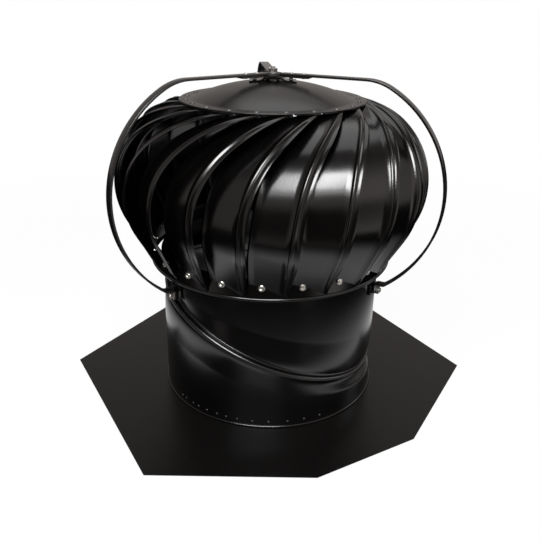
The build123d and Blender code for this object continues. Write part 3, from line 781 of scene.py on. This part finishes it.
def vane_point(across, fraction, rise, sizes):
    """Point on a vane: across the strip from its rib's outer foot, along it from foot to
    top, and outwards from its flat face."""
    run = fraction * EDGE_LENGTH
    facing = BELLY_BOTTOM + max(run - FOOT_STRAIGHT, 0) / BELLY_RADIUS
    below = max(FOOT_STRAIGHT - run, 0)
    radius = (
        BELLY_CENTRE[0] + BELLY_RADIUS * math.cos(facing) + below * math.sin(BELLY_BOTTOM)
    )
    height = (
        BELLY_CENTRE[1] + BELLY_RADIUS * math.sin(facing) - below * math.cos(BELLY_BOTTOM)
    )
    turn = sizes.foot_angle + sizes.sweep * fraction**sizes.sweep_power
    turning = (
        sizes.sweep * sizes.sweep_power * fraction ** (sizes.sweep_power - 1) / EDGE_LENGTH
    )
    outward = np.array([math.cos(turn), math.sin(turn), 0.0])
    around = np.array([-math.sin(turn), math.cos(turn), 0.0])
    along = (
        outward * -math.sin(facing) + UP * math.cos(facing) + around * (radius * turning)
    )
    along /= np.linalg.norm(along)
    normal = outward * math.cos(facing) + UP * math.sin(facing)
    side = np.cross(normal, along)
    lean = math.radians(LEAN_FOOT + LEAN_RISE * fraction - LEAN_FALL * fraction**LEAN_POWER)
    strip = side * math.cos(lean) - normal * math.sin(lean)
    face = np.cross(along, strip)
    return outward * radius + UP * height + strip * across + face * rise


def fading(fraction, foot_fade, top_fade):
    """1 over most of a vane, running out softly towards both of its ends."""
    left = max(min(1.0, fraction / foot_fade, (1.0 - fraction) / top_fade), LEAST_FADE)
    return left * left * (3 - 2 * left)


# parts of a vane across its width, from its outer edge, and the places along each
STRIP_PLACES = (
    [("lip", i / 5) for i in range(5)]
    + [("rib", i / 8) for i in range(8)]
    + [("face", i / 7) for i in range(7)]
    + [("hem", i / 4) for i in range(5)]
)


def strip_place(part, share, fraction, sizes):
    """Distance across the strip and height of its relief."""
    swell = fading(fraction, *SWELL_FADES)
    stand = fading(fraction, *RELIEF_FADES)
    wave = max(math.sin(math.pi * share), 0.0)
    lip = sizes.lip_width / MM * swell
    rib = sizes.rib_width / MM
    inner = (sizes.vane_width + sizes.vane_swell * swell) / MM
    if part == "lip":
        return -lip * (1 - share), sizes.lip_height / MM * swell * wave**LIP_ROUND
    if part == "rib":
        return rib * share, sizes.rib_height / MM * stand * wave**RIB_ROUND
    if part == "face":
        return rib + (inner - HEM_WIDTH - rib) * share, 0.0
    return inner - HEM_WIDTH * (1 - share), HEM_HEIGHT * stand * wave**HEM_ROUND


def strip_point(place, fraction, lift, sizes):
    """Point on a vane's outer face, or lifted off it."""
    across, rise = strip_place(*place, fraction, sizes)
    return vane_point(across, fraction, rise + lift, sizes)


def first_root(test, place, low, high, coarse=40, fine=24):
    """Smallest value at which a place's rising test passes zero."""
    if test(place, low) >= 0:
        return low
    previous = low
    for step in range(1, coarse + 1):
        here = low + (high - low) * step / coarse
        if test(place, here) >= 0:
            for _ in range(fine):
                middle = (previous + here) / 2
                if test(place, middle) >= 0:
                    here = middle
                else:
                    previous = middle
            return here
        previous = here
    return high


def one_vane(sizes, rim_underside):
    """The first vane with its foot tab and top tab, as one mesh object."""
    sheet = sizes.vane_sheet / MM

    def outside_ring(place, fraction):
        p = strip_point(place, fraction, -sheet, sizes)
        return math.hypot(p[0], p[1]) - ring_radius(p[2]) - TAB_GAP

    def under_rim(place, fraction):
        p = strip_point(place, fraction, 0.0, sizes)
        spread = math.hypot(p[0], p[1])
        over = p[2] - (rim_underside - TOP_GAP)
        return max(over if spread < TOP_OUTSIDE else -1.0, TOP_INSIDE - spread)

    starts = [first_root(outside_ring, place, *FOOT_SEARCH) for place in STRIP_PLACES]
    ends = [first_root(under_rim, place, *TOP_SEARCH) for place in STRIP_PLACES]
    strip = []
    for row in range(VANE_ROWS + 1):
        share = row / VANE_ROWS
        outer, inner = (
            [
                strip_point(place, start + (end - start) * share, lift, sizes) * MM
                for place, start, end in zip(STRIP_PLACES, starts, ends)
            ]
            for lift in (0.0, -sheet)
        )
        strip.append(outer + inner[::-1])
    # from the fold down to the ring's bead
    bottom = RING_FOOT[1] + RING_BEAD + TAB_GAP
    foot_tab = []
    for place, start in zip(STRIP_PLACES, starts):
        p = strip_point(place, start, -sheet, sizes)
        turn = max(math.atan2(p[1], p[0]), sizes.foot_angle - FOOT_TAB_ANGLE)
        top = max(p[2] + FOOT_LAP, bottom + LEAST_FOOT_TAB)
        under, over = (out / math.cos(RING_LEAN) for out in (TAB_GAP, TAB_GAP + sheet))
        foot_tab.append([
            round_point(ring_radius(height) + out, turn, height)
            for out, height in ((under, bottom), (over, bottom), (over, top), (under, top))
        ])
    # flat under the dome's rim
    top_turn = sizes.foot_angle + sizes.sweep
    below = rim_underside - sheet
    corners = (
        (TOP_TAB_INSIDE, rim_underside), (TOP_TAB_OUTSIDE, rim_underside),
        (TOP_TAB_OUTSIDE, below), (TOP_TAB_INSIDE, below),
    )
    top_tab = [
        [round_point(r, top_turn - TOP_TAB_ANGLE * step / TOP_TAB_STEPS, z) for r, z in corners]
        for step in range(TOP_TAB_STEPS + 1)
    ]
    shells = (swept(strip), swept(foot_tab, turned=(2, 3)), swept(top_tab))
    return new_object("vane_pattern", *joined(shells), sharp=40.0)


# ------------------------------------------------------------------ the head
class BuildVanes(bpy.types.Operator):
    """Ribbed sheet strips that spiral from the ring up to the dome"""

    bl_idname = "turbine.vanes"
    bl_label = "Vanes"

    def execute(self, context):
        sizes = context.scene.turbine_head
        pattern = one_vane(sizes, sizes.rim_height / MM - DOME_SHEET)
        piece = set_round("head_vanes", pattern, 0.0, "head_paint")
        dress(piece, BODY_HEAD, "head_paint", *VANE_NODES)
        return {"FINISHED"}


class BuildDome(bpy.types.Operator):
    """Shallow crown with a flat rim, spun from one sheet"""

    bl_idname = "turbine.dome"
    bl_label = "Dome"

    def execute(self, context):
        sizes = context.scene.turbine_head
        rim, crown = sizes.rim_height / MM, sizes.crown_height / MM
        outer = sizes.rim_radius / MM
        rise = crown - rim
        ball = (CROWN_RADIUS**2 + rise**2) / (2 * rise)

        def cap(radius, start, end, steps):
            return [
                (r, crown - ball + math.sqrt(radius**2 - r**2))
                for r in np.linspace(start, end, steps)
            ]

        top = cap(ball, CROWN_HOLE, CROWN_RADIUS - CROWN_EASE_START, 40)
        root = np.array(top[-1])
        knee = np.array([CROWN_RADIUS + CROWN_EASE_KNEE[0], rim + CROWN_EASE_KNEE[1]])
        end = np.array([CROWN_RADIUS + CROWN_EASE_END, rim])
        ease = [
            (1 - t) ** 2 * root + 2 * t * (1 - t) * knee + t**2 * end
            for t in np.linspace(0.1, 1.0, 7)
        ]
        edge = arc((outer - DOME_EDGE, rim - DOME_EDGE), DOME_EDGE, 90, -90, 7)
        under = [(CROWN_RADIUS, rim - DOME_SHEET)]
        under += cap(ball - DOME_SHEET, CROWN_RADIUS - CROWN_UNDER_INSET, CROWN_HOLE, 16)
        piece = lathe("dome_shell", top + ease + edge + under)
        dress(piece, BODY_HEAD, "head_paint", "dome_cap", finish="dome_paint")
        return {"FINISHED"}


class BuildRimRivets(bpy.types.Operator):
    """Domed rivets through the dome's rim and the vanes' top tabs"""

    bl_idname = "turbine.rim_rivets"
    bl_label = "Rim rivets"

    def execute(self, context):
        sizes = context.scene.turbine_head
        pattern = domed_rivet("rivet_pattern", radius=3.3, height=1.5)
        pattern.data.transform(
            Matrix.Translation((RIVET_CIRCLE * MM, 0, sizes.rim_height))
        )
        start = sizes.foot_angle + sizes.sweep - RIVET_LAG
        # The rivets take the paler paint, a painted highlight for their glints.
        piece = set_round("rim_rivets", pattern, start, "rivet_paint")
        dress(piece, BODY_HEAD, "rivet_paint", "dome_rivets")
        return {"FINISHED"}


class BuildFootRing(bpy.types.Operator):
    """Shallow cone with a rolled foot that the vanes are screwed to"""

    bl_idname = "turbine.foot_ring"
    bl_label = "Foot ring"

    def execute(self, context):
        start, top = RING_FOOT[1] + RING_CONE_RISE, RING_TOP_HEIGHT
        profile = [(ring_radius(start), start)]
        profile += [(ring_radius(h), h) for h in np.linspace(start + 2, top, 6)]
        profile += [(ring_radius(h) - RING_SHEET, h) for h in np.linspace(top, start, 6)]
        profile += arc((RING_FOOT[0] - RING_SHEET, RING_FOOT[1]), RING_BEAD, 112, 410, 26)
        piece = lathe("foot_ring", profile)
        dress(piece, BODY_HEAD, "head_paint", "bottom_ring")
        return {"FINISHED"}


class BuildFootScrews(bpy.types.Operator):
    """Cross-recessed screws through the vanes' foot tabs"""

    bl_idname = "turbine.foot_screws"
    bl_label = "Foot screws"

    def execute(self, context):
        sizes = context.scene.turbine_head
        pattern = crossed_screw("screw_pattern", radius=4.6, height=2.6, shank=2.0, reach=5.0)
        out = (TAB_GAP + sizes.vane_sheet / MM) * MM
        normal = Vector((math.cos(RING_LEAN), 0, math.sin(RING_LEAN)))
        seat = Vector((ring_radius(SCREW_HEIGHT) * MM, 0, SCREW_HEIGHT * MM)) + normal * out
        stand_on(pattern, seat, normal, SCREW_TURN)
        piece = set_round("foot_screws", pattern, sizes.foot_angle - SCREW_LAG, "zinc")
        dress(piece, BODY_HEAD, "zinc", "ring_screws")
        return {"FINISHED"}


# ------------------------------------------------------------------ the throats
SHEET_TOP = 1.2
SWIVEL_HEIGHT = 108.0
SWIVEL_TILT = math.radians(22.5)
LOW_ANGLE = math.radians(-10.0)
FORMING_TILT = math.radians(15.0)
FORMING_ROWS = 12
FORMING_PULL = 0.55
# lower sleeve: heights on the tube, and offsets along the swivel's axis
FOOT_CURL, FOOT_CURL_EASE = 1.6, 1.2
FOOT_PLAIN_TOP = 17.0
LOWER_CUT = 66.0
LOWER_NECK_START, LOWER_NECK_END, LOWER_NECK_INSIDE = -6.0, -2.4, -0.5
BEAD_OUT = 1.0
LOWER_BEAD = 2.2
# upper sleeve
GRIP_INSIDE, GRIP_OUTSIDE = 2.5, 3.7
GRIP_END, SWAGE_MIDDLE, UPPER_NECK_END, UPPER_NECK_INSIDE = 4.6, 6.5, 8.0, 2.6
SWAGE_RADIUS = 1.1
UPPER_CUT = 150.0
UPPER_TOP, UPPER_CURL, UPPER_CURL_DROP = 212.0, 1.8, 4.0

# the oblique joint's downhill direction, its axis and the direction across both
LOW_SIDE = np.array([math.cos(LOW_ANGLE), math.sin(LOW_ANGLE), 0.0])
DOWNHILL = LOW_SIDE * math.cos(SWIVEL_TILT) - UP * math.sin(SWIVEL_TILT)
SWIVEL_AXIS = LOW_SIDE * math.sin(SWIVEL_TILT) + UP * math.cos(SWIVEL_TILT)
SIDEWAYS = np.cross(SWIVEL_AXIS, DOWNHILL)


def oblique_loops(*places):
    """Loops round the swivel's axis from radii and offsets along it."""
    centre = UP * SWIVEL_HEIGHT
    return [round_loop(centre + SWIVEL_AXIS * n, r, DOWNHILL, SIDEWAYS) for r, n in places]


def tube_loops(*places):
    """Level loops from radii and heights, which start on the swivel's low side."""
    return [round_loop(UP * z, r, LOW_SIDE, SIDEWAYS) for r, z in places]


def forming_loop(radius, height):
    """Where an upright tube is cut by the sloping forming level."""
    loop = tube_loops((radius, height))[0]
    loop[:, 2] = height * MM - loop[:, :2] @ LOW_SIDE[:2] * math.tan(FORMING_TILT)
    return loop


def formed(start, end, start_pull, end_pull):
    """Rows of a smooth skin from one loop to another, both of them included."""
    span = np.linalg.norm(end - start, axis=1)[:, None]
    made = [start]
    for step in range(1, FORMING_ROWS):
        t = step / FORMING_ROWS
        a = 2 * t**3 - 3 * t**2 + 1
        b = t**3 - 2 * t**2 + t
        c = -2 * t**3 + 3 * t**2
        d = t**3 - t**2
        made.append(
            a * start + (b * start_pull + d * end_pull) * span * FORMING_PULL + c * end
        )
    return made + [end]


class BuildLowerThroat(bpy.types.Operator):
    """Lower sleeve: curled foot, plain tube, oblique neck"""

    bl_idname = "turbine.lower_throat"
    bl_label = "Lower throat"

    def execute(self, context):
        sizes = context.scene.turbine_throat
        neck, base = sizes.neck_radius / MM, sizes.base_radius / MM
        wall = sizes.wall / MM

        def skin(inset):
            (ring,) = oblique_loops((neck - inset, LOWER_NECK_START))
            return formed(forming_loop(base - inset, LOWER_CUT), ring, UP, SWIVEL_AXIS)

        loops = tube_loops(
            *arc((base + FOOT_CURL / 2, SHEET_TOP + FOOT_CURL), FOOT_CURL, -150, 118, 14),
            (base, SHEET_TOP + 2 * FOOT_CURL + FOOT_CURL_EASE),
            (base, FOOT_PLAIN_TOP),
        )
        loops += skin(0.0)
        loops += oblique_loops(
            (neck, LOWER_NECK_END),
            *arc((neck + BEAD_OUT, 0), LOWER_BEAD, -117, 150, 16),
            (neck - wall, LOWER_NECK_INSIDE),
        )
        loops += skin(wall)[::-1]
        loops += tube_loops((base - wall, FOOT_PLAIN_TOP), (base - wall, SHEET_TOP))
        piece = new_object("lower_sleeve", *closed_rounds(loops), sharp=40.0)
        dress(piece, BODY_BASE, "throat", "lower_throat")
        return {"FINISHED"}


STAKE_HEIGHT = 10.4
STAKE_ANGLES = (
    -62.7, -71.4, -80.0, -89.6, -97.7, -105.6, -111.6, -116.8, -123.1, -128.6, -132.6,
    -138.6, -142.1,
)


class BuildStakeMarks(bpy.types.Operator):
    """Small stakes that hold the lower throat on the flashing's collar"""

    bl_idname = "turbine.stake_marks"
    bl_label = "Stake marks"

    def execute(self, context):
        base = context.scene.turbine_throat.base_radius / MM
        marks = []
        for turn in map(math.radians, STAKE_ANGLES):
            outward = Vector((math.cos(turn), math.sin(turn), 0))
            mark = domed_rivet("stake_mark", radius=1.5, height=0.6)
            stand_on(mark, (outward * base + Vector((0, 0, STAKE_HEIGHT))) * MM, outward)
            marks.append(mark)
        # The stakes take the rivets' paler paint, a painted highlight for their glints.
        dress(gathered("stake_marks", marks), BODY_BASE, "rivet_paint")
        return {"FINISHED"}


class BuildUpperThroat(bpy.types.Operator):
    """Upper sleeve: rolled grip on the bead, thin swage, plain tube"""

    bl_idname = "turbine.upper_throat"
    bl_label = "Upper throat"

    def execute(self, context):
        sizes = context.scene.turbine_throat
        neck, tube = sizes.neck_radius / MM, sizes.tube_radius / MM
        wall = sizes.wall / MM

        def skin(inset):
            (ring,) = oblique_loops((neck - inset, UPPER_NECK_END))
            return formed(ring, forming_loop(tube - inset, UPPER_CUT), SWIVEL_AXIS, UP)

        loops = oblique_loops(
            *arc((neck + BEAD_OUT, 0), GRIP_INSIDE, 112, -100, 12),
            *arc((neck + BEAD_OUT, 0), GRIP_OUTSIDE, -100, 104, 22),
            (neck, GRIP_END),
            *arc((neck, SWAGE_MIDDLE), SWAGE_RADIUS, -80, 80, 8),
        )
        loops += skin(0.0)
        loops += tube_loops(
            (tube, UPPER_TOP - UPPER_CURL_DROP),
            *arc((tube, UPPER_TOP - UPPER_CURL), UPPER_CURL, -60, 200, 12),
            (tube - wall, UPPER_TOP - UPPER_CURL_DROP),
        )
        loops += skin(wall)[::-1]
        loops += oblique_loops((neck - wall, UPPER_NECK_INSIDE))
        piece = new_object("upper_sleeve", *closed_rounds(loops), sharp=40.0)
        dress(piece, BODY_SWIVEL, "throat", "upper_throat")
        return {"FINISHED"}


# ------------------------------------------------------------------ the brace
ARM_COUNT = 3
ARM_FIRST = math.radians(-144.0)
ARM_LEVEL = 448.0
ARM_LEVEL_STOPS = (13.0, 60.0, 126.4)
# radius, degrees and steps of the bends from the shoulder down
ARM_BENDS = ((68.7, 28.7, 10), (151.4, 84.5, 26), (169.2, 29.0, 10))
ARM_HOCK_RADIUS, ARM_HOCK_STEPS = 7.0, 6
ARM_FOOT_RADIUS = 159.3
ARM_FOOT_BEND, ARM_FOOT_STEPS = 4.0, 8
ARM_FOOT_DROP = 9.5
BAR_EDGE, BAR_EDGE_STEPS = 0.6, 3


def arm_route():
    """Middle line of a brace bar in its upright plane: radius and height."""
    points = [(radius, ARM_LEVEL) for radius in ARM_LEVEL_STOPS]
    heading = 0.0
    here = np.array(points[-1])

    def bend(radius, turn, steps):
        nonlocal here, heading
        sign = -1.0 if turn > 0 else 1.0
        normal = np.array([-math.sin(heading), math.cos(heading)]) * sign
        centre = here + normal * radius
        start = heading
        for step in range(1, steps + 1):
            heading = start - math.radians(turn) * step / steps
            out = np.array([-math.sin(heading), math.cos(heading)]) * -sign
            here = centre + out * radius
            points.append(tuple(here))

    for radius, turn, steps in ARM_BENDS:
        bend(radius, turn, steps)
    bend(ARM_HOCK_RADIUS, 180.0 - sum(turn for _, turn, _ in ARM_BENDS), ARM_HOCK_STEPS)
    here = np.array([ARM_FOOT_RADIUS + ARM_FOOT_BEND, here[1]])
    points.append(tuple(here))
    bend(ARM_FOOT_BEND, -90.0, ARM_FOOT_STEPS)
    points.append((here[0], here[1] - ARM_FOOT_DROP))
    return points


class BuildBrace(bpy.types.Operator):
    """Three flat bars bowed round the head"""

    bl_idname = "turbine.brace"
    bl_label = "Brace"

    def execute(self, context):
        sizes = context.scene.turbine_throat
        points = arm_route()
        curve = bpy.data.curves.new("bar_path", "CURVE")
        curve.dimensions = "3D"
        curve.twist_mode = "MINIMUM"
        spline = curve.splines.new("POLY")
        spline.points.add(len(points) - 1)
        for point, (r, z) in zip(spline.points, points):
            point.co = (r * MM, 0, z * MM, 1)
        path = linked("bar_path", curve)
        values = {
            "Path": path, "Width": sizes.bar_width, "Thickness": sizes.bar_thickness,
            "Edge Radius": BAR_EDGE * MM, "Count": ARM_COUNT, "First Angle": ARM_FIRST,
            "Finish": FINISHES["frame_paint"],
        }
        piece = grow("brace_bars", bar_works(), values)
        bpy.data.objects.remove(path)
        smooth_over(piece.data, 50.0)
        dress(piece, BODY_SWIVEL, "frame_paint", *ARM_NODES)
        return {"FINISHED"}


# ------------------------------------------------------------------ flashing and hardware
COLLAR_REACH = 200.0
FLAT_TURN = math.radians(1)
EDGE_TURN = 0.5
EDGE_ROUND = 0.4


class BuildFlashing(bpy.types.Operator):
    """Flat sheet hexagon with one corner cut off"""

    bl_idname = "turbine.flashing"
    bl_label = "Flashing"

    def execute(self, context):
        mesh = bpy.data.meshes.new_from_object(frame["nodes"]["flashing_plate"])
        piece = linked("flashing_sheet", mesh)
        shell = bmesh.new()
        shell.from_mesh(mesh)
        bmesh.ops.remove_doubles(shell, verts=shell.verts, dist=CAD_MERGE_METRES)
        bmesh.ops.dissolve_limit(
            shell, angle_limit=FLAT_TURN, verts=shell.verts, edges=shell.edges
        )
        bmesh.ops.recalc_face_normals(shell, faces=shell.faces)
        rim = [
            edge
            for edge in shell.edges
            if all(math.hypot(v.co.x, v.co.y) > COLLAR_REACH * MM for v in edge.verts)
            and edge.calc_face_angle(0) > EDGE_TURN
        ]
        bmesh.ops.bevel(shell, geom=rim, offset=EDGE_ROUND * MM, segments=2, affect="EDGES")
        shell.to_mesh(mesh)
        shell.free()
        dress(piece, BODY_BASE, "flashing", "flashing_plate")
        return {"FINISHED"}


class DressHardware(bpy.types.Operator):
    """Finishes for the shaft, bearings, hubs, brackets, bolts and nuts"""

    bl_idname = "turbine.hardware"
    bl_label = "Hardware"

    def execute(self, context):
        slots = {s["node"]: s["material_slot"] for s in frame["record"]["subparts"]}
        for name, node in frame["nodes"].items():
            if not node.hide_render:
                node.data.materials.clear()
                node.data.materials.append(FINISHES[slots[name]])
        return {"FINISHED"}


# ------------------------------------------------------------------ the stage, in metres
FLOOR_LEVEL = -0.0004
FLOOR_CORNERS = ((-9, -0.46), (9, -0.46), (9, 13), (-9, 13))
ROOM_LIGHT = 0.05
LAMP_AIM = Vector((0, 0, 0.3))
# name, place, width and height, watts
LAMPS = (
    ("key_box", (-0.2, -0.98, 1.42), (0.85, 0.6), 29.0),
    ("key_halo", (-0.2, -1.0, 1.38), (1.15, 0.9), 11.0),
    ("side_box", (1.5, 0.3, 0.95), (0.5, 0.8), 2.5),
    ("top_box", (0.1, 0.6, 1.9), (1.2, 1.2), 6.0),
)
SENSOR_WIDTH = 36.0
LENS_SHARE = 635.8 / 540.0
CLIP_END = 60.0


class BuildStage(bpy.types.Operator):
    """Pale floor, soft lamps and the camera"""

    bl_idname = "turbine.stage"
    bl_label = "Stage"

    def execute(self, context):
        settings = context.scene.turbine_stage
        scene = context.scene
        corners = [(x, y, FLOOR_LEVEL) for x, y in FLOOR_CORNERS]
        floor = new_object("floor", corners, [(0, 1, 2, 3)], smooth=False)
        floor.data.materials.append(floor_paper("floor_paper", settings.floor_tone))
        scene.world = studio_world("studio", ROOM_LIGHT)
        for name, place, size, watts in LAMPS:
            light = bpy.data.lights.new(name, "AREA")
            light.shape = "RECTANGLE"
            light.size, light.size_y = size
            light.energy = watts * settings.lamp_power
            lamp = linked(name, light)
            lamp.location = place
            look = LAMP_AIM - Vector(place)
            lamp.rotation_euler = look.to_track_quat("-Z", "Y").to_euler()
        pitch, roll = settings.camera_pitch, settings.camera_roll
        ahead = Vector((0, math.cos(pitch), -math.sin(pitch)))
        right = Vector((1, 0, 0))
        up = Vector((0, math.sin(pitch), math.cos(pitch)))
        right_rolled = right * math.cos(roll) + up * math.sin(roll)
        up_rolled = up * math.cos(roll) - right * math.sin(roll)
        basis = Matrix((right_rolled, up_rolled, -ahead)).transposed().to_4x4()
        lens = bpy.data.cameras.new("camera")
        lens.sensor_fit = "HORIZONTAL"
        lens.sensor_width = SENSOR_WIDTH
        lens.lens = SENSOR_WIDTH * LENS_SHARE
        lens.clip_end = CLIP_END
        camera = linked("camera", lens)
        camera.matrix_world = (
            Matrix.Translation((0, -settings.camera_distance, settings.camera_height)) @ basis
        )
        scene.camera = camera
        scene.view_settings.view_transform = "Standard"
        return {"FINISHED"}


# ------------------------------------------------------------------ panel and run
class TURBINE_PT_pieces(bpy.types.Panel):
    """Lists the pieces in the sidebar"""

    bl_idname = "TURBINE_PT_pieces"
    bl_label = "Turbine"
    bl_space_type = "VIEW_3D"
    bl_region_type = "UI"
    bl_category = "Turbine"

    def draw(self, context):
        for operator in STEPS:
            self.layout.operator(operator.bl_idname)
        for group in GROUPS:
            box = self.layout.box()
            settings = getattr(context.scene, group)
            for name in settings.bl_rna.properties.keys():
                if name not in ("rna_type", "name"):
                    box.prop(settings, name)


STEPS = (
    MixFinishes,
    BuildStage,
    BuildFlashing,
    BuildLowerThroat,
    BuildStakeMarks,
    BuildUpperThroat,
    BuildBrace,
    BuildFootRing,
    BuildVanes,
    BuildFootScrews,
    BuildDome,
    BuildRimRivets,
    DressHardware,
)
GROUPS = {
    "turbine_head": HeadSizes,
    "turbine_throat": ThroatSizes,
    "turbine_finish": FinishColours,
    "turbine_stage": StageSettings,
}


def register():
    for group in GROUPS.values():
        bpy.utils.register_class(group)
    for name, group in GROUPS.items():
        setattr(bpy.types.Scene, name, bpy.props.PointerProperty(type=group))
    for operator in STEPS:
        bpy.utils.register_class(operator)
    bpy.utils.register_class(TURBINE_PT_pieces)


def unregister():
    bpy.utils.unregister_class(TURBINE_PT_pieces)
    for operator in reversed(STEPS):
        bpy.utils.unregister_class(operator)
    for name, group in GROUPS.items():
        delattr(bpy.types.Scene, name)
        bpy.utils.unregister_class(group)


def main():
    register()
    for operator in STEPS:
        group, step = operator.bl_idname.split(".")
        getattr(getattr(bpy.ops, group), step)()


if __name__ == "__main__":
    main()
